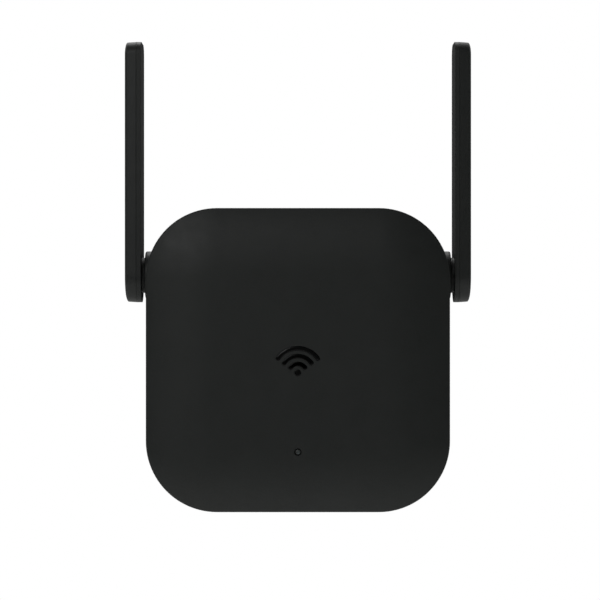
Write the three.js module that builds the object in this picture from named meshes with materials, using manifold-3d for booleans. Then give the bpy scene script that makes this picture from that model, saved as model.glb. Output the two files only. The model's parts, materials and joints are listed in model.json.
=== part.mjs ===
// Plug-in wireless range extender: a crowned rounded-square housing that hangs on the
// two pins of its wall plug, with one folding antenna blade hinged on each side.
//
// Frame: +Z up, +X to the right as seen from the front, +Y towards the wall.
// The origin is the centre of the plug base's flat face, where it meets the socket.
// Sizes are in millimetres.
import * as THREE from "three";
import { mergeVertices } from "three/addons/utils/BufferGeometryUtils.js";
import Module from "manifold-3d";

const wasm = await Module();
wasm.setup();

// ---------------------------------------------------------------- driving sizes

// Housing
const BODY_SIZE = 80; // width and height of the rounded-square housing
const BODY_CORNER = 18.7; // corner radius, seen from the front
const BODY_DEPTH = 24; // crown of the front cover to the rear face
const CROWN_BAND = 17; // width of the band round the rim where the front falls away
const CROWN_DROP = 2.8; // how far it has fallen at the rim
const CROWN_BEYOND = 8; // how far its curve would run on past the rim
const RIM_BAND = 6; // a steeper curve that softens the rim
const RIM_DROP = 4.2;
const REAR_ROUND = 4; // rounding of the rear edge
const WALL = 2; // wall of both shells
const SPLIT_DEPTH = 14; // crown to the joint line, which runs through the hinge axes
const SEAM = 0.3; // open joint line between the shells
const TONGUE_LENGTH = 3; // how far the rear shell's tongue enters the front shell
const TONGUE_COVER = 1; // wall of the front shell left outside the tongue
const SNAP_WIDTH = 8; // snap hooks on the tongue
const SNAP_HEIGHT = 0.45;
const SNAP_LENGTH = 1;
const SNAP_SPACING = 24; // between the two hooks of the top and bottom walls
const FIT = 0.15; // slip clearance between moulded parts
const TOUCH = 0.05; // gap kept between parts that rest on each other

// Vents, which wrap round the rear edge at the top and the bottom
const VENT_COUNT = 11;
const VENT_PITCH = 3.2;
const VENT_WIDTH = 1.4;
const VENT_FROM_SPLIT = 2; // joint line to the front end of each slot
const VENT_REACH = 5.5; // how far each slot comes in over the rear face

// Emblem: a signal fan of a dot and three arcs, raised on a plate behind the front
const FAN_RADII = [2.3, 4.35, 6.4];
const FAN_STROKE = 1.1;
const FAN_DOT = 0.8;
const FAN_HALF_ANGLE = 0.95; // radians either side of upright
const FAN_DROP = 3.25; // the dot's centre below the middle of the front
const EMBLEM_RECESS = 0.05; // the strokes lie this far under the front
const EMBLEM_PLATE = 0.8;
const EMBLEM_MARGIN = 1.5;
const EMBLEM_CORNER = 1.5;
const PEG_RADIUS = 0.6;
const PEG_PROUD = 0.3; // peg ends past the plate that they hold

// Status light
const LIGHT_RISE = 16; // above the bottom edge of the housing
const LIGHT_HOLE = 0.95; // radius
const LIGHT_TIP = 0.62; // radius of the light pipe's tip
const LIGHT_COLLAR = 1.5;
const LIGHT_COLLAR_LENGTH = 0.9;
const LIGHT_STEM = 1;
const LIGHT_SOCKET_WALL = 1.1;
const LIGHT_SOCKET_GAP = 1; // end of the socket to the status light
const LED_SIZE = [1.6, 0.6, 0.9]; // X, Y, Z

// Wall plug, two round pins
const BOSS_RADIUS = 18;
const BOSS_HEIGHT = 10.5; // stands off the rear face
const BOSS_WALL = 3.4;
const BOSS_CHAMFER = 0.8;
const FACE_WALL = 3;
const FLANGE_OVERHANG = 3; // past the boss, behind the rear wall
const FLANGE_THICKNESS = 1.45;
const FLANGE_PAD = 1; // radius of the pads on the flange
const GUIDE_WIDTH = 5.4; // side notches for the socket's guide ribs
const GUIDE_DEPTH = 2.2;
const CLIP_WIDTH = 8; // flats for the socket's earth clips
const CLIP_DEPTH = 1.6;
const PIN_SPACING = 19;
const PIN_LENGTH = 19;
const PIN_RADIUS = 2;
const PIN_TIP_ROUND = 1.3;
const PIN_CORE = 1.55; // radius inside the insulating sleeve
const SLEEVE_LENGTH = 10;
const SLEEVE_WALL = 0.25;
const SLEEVE_RADIUS = PIN_CORE + SLEEVE_WALL;
const COLLAR_RADIUS = 3.6; // moulded support round each pin
const COLLAR_LENGTH = 4;
const PIN_HEAD = 2.9;
const PIN_HEAD_LENGTH = 1.1;
const PIN_TAIL = 1.2;
const PIN_TAIL_LENGTH = 3;
const CONTACT_STRIP = [3, 0.5]; // width and thickness
const CONTACT_FOOT = 4.5;

// Hinges and antenna blades
const HINGE_FROM_TOP = 17.6; // hinge axis below the top of the housing
const KNUCKLE_RADIUS = 6.4;
const KNUCKLE_LENGTH = 6.6;
const KNUCKLE_PROUD = 0.7; // stands out past the side of the housing
const KNUCKLE_RIB = 1.2;
const LIP_THICKNESS = 1.8; // outer wall of the knuckle, which holds the journal
const KNUCKLE_END = 1.2; // inner wall of the knuckle
const POCKET_RADIUS = 5;
const NECK_RADIUS = 3.2;
const NECK_CLEARANCE = 0.25;
const SHOULDER_RADIUS = 4.7;
const FLANGE_ROUND = 4.1; // journal flange
const FLANGE_LENGTH = 1.35;
const LUG_RADIUS = 4.75; // stop lug on the flange
const STOP_RADIUS = 4.3; // inner radius of the stop rib in the rear knuckle half
const LUG_HALF_ANGLE = Math.PI / 12;
const STOP_SLACK = Math.PI / 180;
const WASHER_THICKNESS = 0.65;
const COAX_RADIUS = 0.55;
const COAX_BORE = 1.3;
const COAX_RELIEF = [0.8, 1.8, 3.4]; // pocket where the coax turns up: depth, width, height
const COAX_MOUTH = 2.2; // opening in the knuckle's inner wall
const COAX_STEPS = 16;
const COAX_BREAK = 0.3; // between the turning and the fixed length of coax
const BLADE_GAP = 0.9; // blade to the end of its knuckle
const BLADE_LENGTH = 69.2;
const BLADE_WIDTH = 14.4;
const BLADE_THICKNESS = 4.4;
const BLADE_TIP_RADIUS = 3.3;
const BLADE_BAND = BLADE_TIP_RADIUS - 0.3; // rounded band round the outer face, inside the tip's corners
const BLADE_DROP = 0.8;
const BLADE_WALL = 1;
const BLADE_BACK = 1.2; // thickness of the plate that carries the journal
const BLADE_LIP = [0.8, 0.8]; // wall and height of the plate's locating lip
const RADIATOR = [0.6, 7.5, 46]; // X, Y, Z
const RADIATOR_RISE = 8; // its foot above the hinge axis

// Boards and what stands on them
const BOARD_GAP = 3.8; // inside of the front to the main board
const MAIN_THICKNESS = 1.2;
const MAIN_MARGIN = 7; // housing side to the main board's edge
const MAIN_BOTTOM = 6; // housing bottom to the main board's edge
const MAIN_TOP = 10;
const BOARD_CORNER = 2;
const MAIN_SHOULDER = 27; // top of the housing to the step under the knuckles
const MAIN_STEP = 4; // how much narrower the board is beside the knuckles
const POWER_THICKNESS = 1.6;
const POWER_SIZE = [54, 48]; // X, Z
const POWER_STANDOFF = 0.75; // pads between the plug flange and the power board
const POST_RADIUS = 2.75;
const POST_SKIN = 1.1; // left between a screw hole and the outside
const PILOT_RADIUS = 1;
const SCREW_SHANK = 0.85;
const SCREW_HEAD = 1.9;
const SCREW_HEAD_HEIGHT = 1.2;
const SCREW_RECESS = [0.5, 2.2, 0.7]; // slot width, span and depth of the cross
const SCREW_INSET = 4; // a power board screw's centre from the board's edges
const SCREW_HOLE = 1.15;
const SCREW_TIP_GAP = 0.4; // screw tip to the bottom of its pilot hole
const LOW_SCREW_LIFT = 3; // the main board's low screws clear its round corners
const CAN_SIZE = [24, 2.2, 20];
const CAN_WALL = 0.3;
const CHIP_SIZE = [10, 0.9, 10];
const SWITCH_SIZE = [3.5, 3, 4.5];
const SWITCH_PROUD = 0.4; // past the board's edge
const PLUNGER_RADIUS = 0.8;
const PLUNGER_LENGTH = 1.4; // outside the switch
const PLUNGER_ROOT = 1; // inside the switch
const PLUNGER_TRAVEL = 0.6; // room behind it
const RESET_HOLE = 0.9; // radius
const RESET_HEIGHT = 30; // above the bottom of the housing
const CONNECTOR = { base: 2.6, baseHeight: 0.5, radius: 1.2, height: 1.3, inset: 8, drop: 3 };
const LINK = { pins: 4, pitch: 2.54, depth: 2.5, base: 2.5, pin: 0.64, bore: 1, floor: 1.5 };
const LINK_DROP = 20; // the link connector below the middle of the housing
const SHEET_THICKNESS = 0.3;
const SHEET_GAP = 1.75; // main board to the sheet, which lies against the transformer
const SHEET_MARGINS = [0.7, 6]; // to the coax connectors and to the power board's edges
const LABEL_WIDTH = 42;
const LABEL_THICKNESS = 0.1;
const LABEL_MARGINS = [1, 5.5]; // from the vents below it and the plug above it
const LABEL_CORNER = 1;
const LABEL_RECESS = 0.2;

// Parts that stand on the boards: size in X, Y, Z and place in X, Z
const CAN_PLACE = [0, 2];
const MEMORY_CHIP = { size: [5.2, 1.2, 5.3], place: [-12, -13] };
const CLOCK_CRYSTAL = { size: [3.2, 0.8, 2.5], place: [13, 8] };
const BRIDGE = { size: [4.8, 2.4, 4], place: [6, 12] };
const POWER_CHIP = { size: [4.9, 1.5, 3.9], place: [4, -2] };
const TRANSFORMER = { width: 14, depth: 5.4, leg: 1.5, core: 3.6, coil: 4.9 };
const TRANSFORMER_PLACE = [-9, 2];

// Round parts that lie on the power board: their radius or the gap that they leave under
// the insulation sheet, where they start and how far they run along their axis, and their
// place across it
const INPUT_CAPACITOR = { axis: "z", under: 1.05, start: -3, length: 14, across: 16 };
const OUTPUT_CAPACITOR = { axis: "z", under: 2.75, start: -20, length: 11, across: -16 };
const NOISE_CHOKE = { axis: "x", under: 3.05, start: 11, length: 9, across: -10 };
const FUSE = { axis: "x", radius: 1.7, start: 3, length: 9, across: 18 };
const SAFETY_CAPACITOR = { axis: "x", under: 2.05, start: -7, length: 3.4, across: -11 };

// Mesh fineness
const CORNER_STEPS = 4; // two spans per step on each arc of an outline
const CROWN_STEPS = 7;
const ROUND_STEPS = 3; // on the small rounded edges
const SMALL_SIDES = 12; // sides of round parts, by size
const MEDIUM_SIDES = 20;
const LARGE_SIDES = 32;
const MEDIUM_RADIUS = 2;
const LARGE_RADIUS = 4;

// ---------------------------------------------------------------- derived places

const HALF = BODY_SIZE / 2;
const Y_REAR = -BOSS_HEIGHT;
const Y_FRONT = Y_REAR - BODY_DEPTH;
const Y_SPLIT = Y_FRONT + SPLIT_DEPTH;
const HINGE_Y = Y_SPLIT;
const HINGE_Z = HALF - HINGE_FROM_TOP;
const KNUCKLE_OUTER = HALF + KNUCKLE_PROUD;
const KNUCKLE_INNER = KNUCKLE_OUTER - KNUCKLE_LENGTH;
const POCKET_INNER = KNUCKLE_INNER + KNUCKLE_END;
const LIP_INNER = KNUCKLE_OUTER - LIP_THICKNESS;
const TONGUE_INSET = TONGUE_COVER + FIT;
const MAIN_FRONT = Y_FRONT + WALL + BOARD_GAP;
const MAIN_REAR = MAIN_FRONT + MAIN_THICKNESS;
const FLANGE_RADIUS = BOSS_RADIUS + FLANGE_OVERHANG;
const FLANGE_REAR = Y_REAR - WALL - TOUCH;
const FLANGE_FRONT = FLANGE_REAR - FLANGE_THICKNESS;
const POWER_REAR = FLANGE_FRONT - POWER_STANDOFF;
const POWER_FRONT = POWER_REAR - POWER_THICKNESS;
const LIGHT_Z = LIGHT_RISE - HALF;
const LED_FRONT = MAIN_FRONT - TOUCH - LED_SIZE[1];
const MAIN_HALF_WIDTH = HALF - MAIN_MARGIN;
const RESET_Z = RESET_HEIGHT - HALF;
const RESET_Y = MAIN_REAR + TOUCH + SWITCH_SIZE[1] / 2;
const SWITCH_FACE = MAIN_HALF_WIDTH + SWITCH_PROUD;
const LABEL_LOW = VENT_REACH + LABEL_MARGINS[0] - HALF;
const LABEL_HIGH = -BOSS_RADIUS - LABEL_MARGINS[1];
const FAR = 2 * BODY_SIZE; // beyond everything, for trimming
const PAST = 1; // how far a cutter runs past what it cuts

// ---------------------------------------------------------------- solids

const AXIS = {
  x: new THREE.Vector3(1, 0, 0),
  y: new THREE.Vector3(0, 1, 0),
  z: new THREE.Vector3(0, 0, 1),
};
// A shape drawn in (X, Z) and given depth towards the front, or drawn in (Y, Z) and to the right.
const FORWARDS = new THREE.Matrix4().makeBasis(AXIS.x, AXIS.z, AXIS.y.clone().negate());
const RIGHTWARDS = new THREE.Matrix4().makeBasis(AXIS.y, AXIS.z, AXIS.x);

// A closed three.js geometry as a manifold-3d solid.
function solidOf(geometry) {
  const bare = geometry.index ? geometry.toNonIndexed() : geometry.clone();
  bare.deleteAttribute("normal");
  bare.deleteAttribute("uv");
  const merged = mergeVertices(bare, 1e-4);
  return new wasm.Manifold(
    new wasm.Mesh({
      numProp: 3,
      vertProperties: merged.attributes.position.array,
      triVerts: new Uint32Array(merged.index.array),
    }),
  );
}

// A manifold-3d solid as a three.js geometry.
function geometryOf(solid) {
  const mesh = solid.getMesh();
  const positions = new Float32Array(mesh.numVert * 3);
  for (let i = 0; i < mesh.numVert; i++) {
    const start = i * mesh.numProp;
    positions.set(mesh.vertProperties.subarray(start, start + 3), i * 3);
  }
  const geometry = new THREE.BufferGeometry()
    .setAttribute("position", new THREE.BufferAttribute(positions, 3))
    .setIndex(new THREE.BufferAttribute(mesh.triVerts, 1));
  geometry.computeVertexNormals();
  return geometry;
}

const join = (first, ...others) => others.reduce((made, other) => made.add(other), first);
const cut = (first, ...others) => others.reduce((made, other) => made.subtract(other), first);

// A block between two places on each axis.
function block([x0, x1], [y0, y1], [z0, z1]) {
  const geometry = new THREE.BoxGeometry(x1 - x0, y1 - y0, z1 - z0);
  geometry.translate((x0 + x1) / 2, (y0 + y1) / 2, (z0 + z1) / 2);
  return solidOf(geometry);
}

// A block of size [x, y, z] whose middle is at (x, z) and which stands on the plane y,
// towards the front (-1) or the rear (+1).
function standing([width, depth, height], [x, z], y, way) {
  const ys = way < 0 ? [y - TOUCH - depth, y - TOUCH] : [y + TOUCH, y + TOUCH + depth];
  return block([x - width / 2, x + width / 2], ys, [z - height / 2, z + height / 2]);
}

function sidesFor(radius) {
  if (radius < MEDIUM_RADIUS) return SMALL_SIDES;
  return radius < LARGE_RADIUS ? MEDIUM_SIDES : LARGE_SIDES;
}

// A round rod along an axis, between two places on it; its centre is on the other two.
function rod(axis, radius, [from, to], [u, v]) {
  const sides = sidesFor(radius);
  const geometry = new THREE.CylinderGeometry(radius, radius, to - from, sides);
  const middle = (from + to) / 2;
  if (axis === "x") geometry.rotateZ(-Math.PI / 2).translate(middle, u, v);
  if (axis === "y") geometry.translate(u, middle, v);
  if (axis === "z") geometry.rotateX(Math.PI / 2).translate(u, v, middle);
  return solidOf(geometry);
}

// A closed profile of [radius, place] turned about an axis through (u, v).
function turned(axis, profile, [u, v], sides) {
  const points = profile.map(([radius, place]) => new THREE.Vector2(radius, place));
  const geometry = new THREE.LatheGeometry(points, sides);
  if (axis === "x") geometry.rotateZ(-Math.PI / 2).translate(0, u, v);
  if (axis === "y") geometry.translate(u, 0, v);
  return solidOf(geometry);
}

// A flat shape given depth between two places, drawn in (X, Z) for "y" and in (Y, Z) for "x".
function plate(axis, shape, [from, to]) {
  const geometry = new THREE.ExtrudeGeometry(shape, {
    depth: to - from,
    bevelEnabled: false,
    curveSegments: CORNER_STEPS,
  });
  if (axis === "y") geometry.applyMatrix4(FORWARDS).translate(0, to, 0);
  if (axis === "x") geometry.applyMatrix4(RIGHTWARDS).translate(from, 0, 0);
  return solidOf(geometry);
}

// A slab whose outer end, at place `end`, falls away in a quarter ellipse round its rim;
// it runs back to place `start`.
function crowned(axis, shape, [start, end], [band, drop], steps = ROUND_STEPS) {
  const length = Math.abs(end - start);
  const geometry = new THREE.ExtrudeGeometry(shape, {
    depth: length,
    bevelEnabled: true,
    bevelSize: band,
    bevelThickness: drop,
    bevelOffset: -band,
    bevelSegments: steps,
    curveSegments: CORNER_STEPS,
  });
  geometry.translate(0, 0, -length - drop);
  if (axis === "y") {
    geometry.applyMatrix4(FORWARDS);
    if (end > start) geometry.rotateZ(Math.PI);
    geometry.translate(0, end, 0);
    return solidOf(geometry).intersect(block([-FAR, FAR], order(start, end), [-FAR, FAR]));
  }
  geometry.applyMatrix4(RIGHTWARDS).translate(end, 0, 0);
  return solidOf(geometry).intersect(block(order(start, end), [-FAR, FAR], [-FAR, FAR]));
}

const order = (a, b) => [Math.min(a, b), Math.max(a, b)];

// A length of coax through points on its centre line.
function wire(points) {
  const section = new THREE.Shape().absarc(0, 0, COAX_RADIUS, 0, 2 * Math.PI);
  const path = new THREE.CatmullRomCurve3(points.map((p) => new THREE.Vector3(...p)));
  const geometry = new THREE.ExtrudeGeometry(section, {
    steps: COAX_STEPS,
    extrudePath: path,
    curveSegments: CORNER_STEPS,
  });
  return solidOf(geometry);
}

// ---------------------------------------------------------------- outlines

// A rectangle with round corners, centred on (0, middle).
function roundedRect(halfWidth, halfHeight, radius, middle = 0) {
  const quarter = Math.PI / 2;
  const centres = [
    [1, 1],
    [-1, 1],
    [-1, -1],
    [1, -1],
  ];
  const shape = new THREE.Shape();
  centres.forEach(([right, up], i) => {
    const x = right * (halfWidth - radius);
    const y = middle + up * (halfHeight - radius);
    shape.absarc(x, y, radius, i * quarter, (i + 1) * quarter);
  });
  return shape;
}

// The housing's outline, moved inwards.
const bodyOutline = (inset) => roundedRect(HALF - inset, HALF - inset, BODY_CORNER - inset);

// A sector of a ring between two angles, with square ends, centred on (x, y).
function ringSector(inner, outer, [from, to], [x, y]) {
  const shape = new THREE.Shape();
  shape.absarc(x, y, outer, from, to);
  shape.absarc(x, y, inner, to, from, true);
  return shape;
}

// One arc of the signal fan, with round ends.
function fanArc(radius, halfStroke, [x, y]) {
  const from = Math.PI / 2 - FAN_HALF_ANGLE;
  const to = Math.PI / 2 + FAN_HALF_ANGLE;
  const end = (angle) => [x + radius * Math.cos(angle), y + radius * Math.sin(angle)];
  const shape = new THREE.Shape();
  shape.absarc(x, y, radius + halfStroke, from, to);
  shape.absarc(...end(to), halfStroke, to, to + Math.PI);
  shape.absarc(x, y, radius - halfStroke, to, from, true);
  shape.absarc(...end(from), halfStroke, from + Math.PI, from + 2 * Math.PI);
  return shape;
}

// The antenna blade seen from the side, in (Y, Z): a round foot about the hinge axis and
// a squarer tip.
function bladeOutline(inset) {
  const foot = BLADE_WIDTH / 2 - inset;
  const top = BLADE_LENGTH - BLADE_WIDTH / 2 - inset;
  const tip = BLADE_TIP_RADIUS - inset;
  const shape = new THREE.Shape();
  shape.absarc(HINGE_Y, HINGE_Z, foot, Math.PI, 2 * Math.PI);
  shape.absarc(HINGE_Y + foot - tip, HINGE_Z + top - tip, tip, 0, Math.PI / 2);
  shape.absarc(HINGE_Y - foot + tip, HINGE_Z + top - tip, tip, Math.PI / 2, Math.PI);
  return shape;
}

// The main board: full width below the knuckles, narrower beside them.
function mainBoardOutline() {
  const low = MAIN_HALF_WIDTH;
  const high = low - MAIN_STEP;
  const bottom = MAIN_BOTTOM - HALF;
  const step = HALF - MAIN_SHOULDER;
  const top = HALF - MAIN_TOP;
  const lowCorner = BODY_CORNER - MAIN_MARGIN;
  const highCorner = MAIN_STEP;
  const shape = new THREE.Shape();
  shape.absarc(low - lowCorner, bottom + lowCorner, lowCorner, -Math.PI / 2, 0);
  shape.lineTo(low, step);
  shape.lineTo(high, step);
  shape.absarc(high - highCorner, top - highCorner, highCorner, 0, Math.PI / 2);
  shape.absarc(highCorner - high, top - highCorner, highCorner, Math.PI / 2, Math.PI);
  shape.lineTo(-high, step);
  shape.lineTo(-low, step);
  shape.absarc(lowCorner - low, bottom + lowCorner, lowCorner, Math.PI, 1.5 * Math.PI);
  return shape;
}

// ---------------------------------------------------------------- shared places

const MIRRORED = [-1, 1];
const CENTRE = [0, 0];
const HINGE = [HINGE_Y, HINGE_Z];
const FAN_CENTRE = [0, -FAN_DROP];
const EMBLEM_FRONT = Y_FRONT + WALL + TOUCH;
const FAN_REACH = Math.max(...FAN_RADII);
const PEG_X = FAN_REACH * Math.sin(FAN_HALF_ANGLE) + EMBLEM_MARGIN;
const PEG_PLACES = MIRRORED.map((side) => [side * PEG_X, FAN_REACH / 2 - FAN_DROP]);
const THROUGH_FRONT = [Y_FRONT - PAST, Y_FRONT + WALL + PAST];

const mainScrewPlaces = () => {
  const high = HALF - MAIN_TOP - SCREW_INSET;
  const low = MAIN_BOTTOM + SCREW_INSET + LOW_SCREW_LIFT - HALF;
  const x = MAIN_HALF_WIDTH - MAIN_STEP - SCREW_INSET;
  return [
    [-x, high],
    [x, high],
    [-x, low],
    [x, low],
  ];
};

const powerScrewPlaces = () => {
  const x = POWER_SIZE[0] / 2 - SCREW_INSET;
  const z = POWER_SIZE[1] / 2 - SCREW_INSET;
  return [
    [-x, z],
    [x, z],
    [-x, -z],
    [x, -z],
  ];
};

// The snap hooks, as [wall axis, side, place along the wall].
const SNAPS = [
  ["z", 1, -SNAP_SPACING / 2],
  ["z", 1, SNAP_SPACING / 2],
  ["z", -1, -SNAP_SPACING / 2],
  ["z", -1, SNAP_SPACING / 2],
  ["x", -1, 0],
  ["x", 1, 0],
];

// The hooks' blocks, or with a clearance the slots that they drop into.
function snapBlocks(clearance) {
  return SNAPS.map(([wall, side, along]) => {
    const root = HALF - TONGUE_INSET - FIT;
    const tip = HALF - TONGUE_INSET + SNAP_HEIGHT + clearance;
    const across = order(side * root, side * tip);
    const half = SNAP_WIDTH / 2 + clearance;
    const run = [along - half, along + half];
    const middle = Y_SPLIT - TONGUE_LENGTH / 2;
    const reach = SNAP_LENGTH / 2 + clearance;
    const ys = [middle - reach, middle + reach];
    return wall === "z" ? block(run, ys, across) : block(across, ys, run);
  });
}

// ---------------------------------------------------------------- housing

const knuckles = (radius) =>
  MIRRORED.map((side) => {
    const xs = order(side * KNUCKLE_INNER, side * KNUCKLE_OUTER);
    return rod("x", radius, xs, HINGE);
  });

// What the journals, washers and coax need inside the knuckles.
const knuckleBores = () =>
  MIRRORED.flatMap((side) => {
    const between = (a, b) => order(side * a, side * b);
    return [
      rod("x", NECK_RADIUS + NECK_CLEARANCE, between(LIP_INNER - TOUCH, KNUCKLE_OUTER + PAST), HINGE),
      rod("x", POCKET_RADIUS, between(POCKET_INNER, LIP_INNER), HINGE),
      rod("x", COAX_MOUTH, between(KNUCKLE_INNER - PAST, POCKET_INNER + TOUCH), HINGE),
    ];
  });

// Webs that tie each knuckle half to its shell, from the hinge axis out to y.
const knuckleRibs = (y) =>
  MIRRORED.flatMap((side) =>
    [KNUCKLE_INNER, LIP_INNER - KNUCKLE_RIB].map((x) => {
      const xs = order(side * x, side * (x + KNUCKLE_RIB));
      const reach = KNUCKLE_RADIUS - KNUCKLE_RIB;
      return block(xs, order(HINGE_Y, y), [HINGE_Z - reach, HINGE_Z + reach]);
    }),
  );

// A slab of the housing's outline, moved inwards, whose front falls away in a shallow
// curve: part of a wider quarter ellipse that runs on past the rim.
function domed(inset, ends) {
  const band = CROWN_BAND + CROWN_BEYOND;
  const whole = CROWN_DROP / (1 - Math.sqrt(1 - (CROWN_BAND / band) ** 2));
  const dome = crowned("y", bodyOutline(-CROWN_BEYOND), ends, [band, whole], CROWN_STEPS);
  return dome.intersect(plate("y", bodyOutline(inset), order(...ends)));
}

function frontCover() {
  const rim = Y_SPLIT - SEAM / 2;
  const inFront = block([-FAR, FAR], [-FAR, rim], [-FAR, FAR]);
  const outer = domed(0, [Y_SPLIT, Y_FRONT]).intersect(
    crowned("y", bodyOutline(0), [Y_SPLIT, Y_FRONT], [RIM_BAND, RIM_DROP]),
  );
  const cavity = domed(WALL, [Y_SPLIT, Y_FRONT + WALL]);
  const rabbet = plate("y", bodyOutline(TONGUE_COVER), [
    Y_SPLIT - TONGUE_LENGTH - FIT,
    Y_SPLIT,
  ]);
  const ribs = knuckleRibs(Y_FRONT).map((rib) => rib.intersect(outer));
  const bosses = mainScrewPlaces().map((place) =>
    rod("y", POST_RADIUS, [Y_FRONT + WALL / 2, MAIN_FRONT - TOUCH], place),
  );
  const pilots = mainScrewPlaces().map((place) =>
    rod("y", PILOT_RADIUS, [Y_FRONT + WALL / 2 + POST_SKIN, MAIN_FRONT], place),
  );
  const light = [0, LIGHT_Z];
  const reset = [RESET_Y, RESET_Z];
  const socketEnds = [Y_FRONT + WALL / 2, LED_FRONT - LIGHT_SOCKET_GAP];
  const socket = rod("y", LIGHT_COLLAR + LIGHT_SOCKET_WALL, socketEnds, light);
  const socketBore = rod("y", LIGHT_COLLAR + FIT, [Y_FRONT + WALL, LED_FRONT], light);
  const lightHole = rod("y", LIGHT_HOLE, THROUGH_FRONT, light);
  const resetHole = rod("x", RESET_HOLE, [HALF - WALL - PAST, HALF + PAST], reset);
  const pegEnds = [Y_FRONT + WALL / 2, EMBLEM_FRONT + EMBLEM_PLATE + PEG_PROUD];
  const pegs = PEG_PLACES.map((place) => rod("y", PEG_RADIUS, pegEnds, place));
  const hollow = cut(join(cavity, rabbet), ...knuckles(KNUCKLE_RADIUS), ...ribs);
  const shell = cut(join(outer, ...knuckles(KNUCKLE_RADIUS)), hollow).intersect(inFront);
  return cut(
    join(shell, ...bosses, socket, ...pegs),
    ...knuckleBores(),
    ...snapBlocks(FIT),
    ...pilots,
    socketBore,
    lightHole,
    resetHole,
    ...fanStrokes(FIT / 2, THROUGH_FRONT),
  );
}

function ventSlots() {
  const first = (-(VENT_COUNT - 1) / 2) * VENT_PITCH;
  const slots = [];
  for (let i = 0; i < VENT_COUNT; i++) {
    const x = first + i * VENT_PITCH;
    for (const side of MIRRORED) {
      slots.push(
        block(
          [x - VENT_WIDTH / 2, x + VENT_WIDTH / 2],
          [Y_SPLIT + VENT_FROM_SPLIT, Y_REAR + PAST],
          order(side * (HALF - VENT_REACH), side * (HALF + PAST)),
        ),
      );
    }
  }
  return slots;
}

// Ribs that the journals' stop lugs run against at either end of the blades' swing.
const stopRibs = () =>
  MIRRORED.map((side) => {
    const half = Math.PI / 2 - LUG_HALF_ANGLE - STOP_SLACK;
    const shape = ringSector(STOP_RADIUS, POCKET_RADIUS + TOUCH, [-half, half], HINGE);
    return plate("x", shape, order(side * POCKET_INNER, side * (FLANGE_OUTER + TOUCH)));
  });

function rearHousing() {
  const rim = Y_SPLIT + SEAM / 2;
  const behind = block([-FAR, FAR], [rim, FAR], [-FAR, FAR]);
  const outer = crowned("y", bodyOutline(0), [Y_SPLIT, Y_REAR], [REAR_ROUND, REAR_ROUND]);
  const inner = REAR_ROUND - WALL;
  const cavity = crowned("y", bodyOutline(WALL), [Y_SPLIT, Y_REAR - WALL], [inner, inner]);
  const ribs = knuckleRibs(Y_REAR).map((rib) => rib.intersect(outer));
  const hollow = cut(cavity, ...knuckles(KNUCKLE_RADIUS), ...ribs);
  const shell = cut(join(outer, ...knuckles(KNUCKLE_RADIUS)), hollow).intersect(behind);
  const bored = join(cut(shell, ...knuckleBores()), ...stopRibs());
  const tongue = cut(
    join(
      cut(
        plate("y", bodyOutline(TONGUE_INSET), [Y_SPLIT - TONGUE_LENGTH, rim + WALL]),
        plate("y", bodyOutline(WALL), [Y_SPLIT - TONGUE_LENGTH - PAST, rim + WALL + PAST]),
      ),
      ...snapBlocks(0),
    ),
    ...knuckles(KNUCKLE_RADIUS + FIT),
  );
  const posts = powerScrewPlaces().map((place) =>
    rod("y", POST_RADIUS, [POWER_REAR + TOUCH, Y_REAR - WALL / 2], place),
  );
  const pilots = powerScrewPlaces().map((place) =>
    rod("y", PILOT_RADIUS, [POWER_REAR, Y_REAR - POST_SKIN], place),
  );
  const plugHole = rod("y", BOSS_RADIUS + FIT, [Y_REAR - WALL - PAST, Y_REAR + PAST], CENTRE);
  const labelRecess = plate("y", labelOutline(FIT), [Y_REAR - LABEL_RECESS, Y_REAR + PAST]);
  return cut(join(bored, tongue, ...posts), ...pilots, plugHole, labelRecess, ...ventSlots());
}

function fanStrokes(growth, ys) {
  const halfStroke = FAN_STROKE / 2 + growth;
  const arcs = FAN_RADII.map((radius) => plate("y", fanArc(radius, halfStroke, FAN_CENTRE), ys));
  return [rod("y", FAN_DOT + growth, ys, FAN_CENTRE), ...arcs];
}

function emblemInsert() {
  const high = FAN_REACH + FAN_STROKE / 2 + EMBLEM_MARGIN - FAN_DROP;
  const low = -FAN_DOT - EMBLEM_MARGIN - FAN_DROP;
  const across = PEG_X + EMBLEM_MARGIN;
  const shape = roundedRect(across, (high - low) / 2, EMBLEM_CORNER, (high + low) / 2);
  const base = plate("y", shape, [EMBLEM_FRONT, EMBLEM_FRONT + EMBLEM_PLATE]);
  const strokes = fanStrokes(0, [Y_FRONT + EMBLEM_RECESS, EMBLEM_FRONT + TOUCH]);
  const holes = PEG_PLACES.map((place) =>
    rod("y", PEG_RADIUS + FIT, [Y_FRONT, MAIN_FRONT], place),
  );
  return cut(join(base, ...strokes), ...holes);
}

function lightPipe() {
  const collarFront = Y_FRONT + WALL + TOUCH;
  const collarRear = collarFront + LIGHT_COLLAR_LENGTH;
  return turned(
    "y",
    [
      [0, Y_FRONT + EMBLEM_RECESS],
      [LIGHT_TIP, Y_FRONT + EMBLEM_RECESS],
      [LIGHT_TIP, collarFront],
      [LIGHT_COLLAR, collarFront],
      [LIGHT_COLLAR, collarRear],
      [LIGHT_STEM, collarRear],
      [LIGHT_STEM, LED_FRONT - FIT],
      [0, LED_FRONT - FIT],
    ],
    [0, LIGHT_Z],
    SMALL_SIDES,
  );
}

function labelOutline(growth) {
  const across = LABEL_WIDTH / 2 + growth;
  const up = (LABEL_HIGH - LABEL_LOW) / 2 + growth;
  return roundedRect(across, up, LABEL_CORNER + growth, (LABEL_HIGH + LABEL_LOW) / 2);
}

function ratingLabel() {
  const back = Y_REAR - LABEL_RECESS + TOUCH;
  return plate("y", labelOutline(0), [back, back + LABEL_THICKNESS]);
}

// ---------------------------------------------------------------- wall plug

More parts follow.
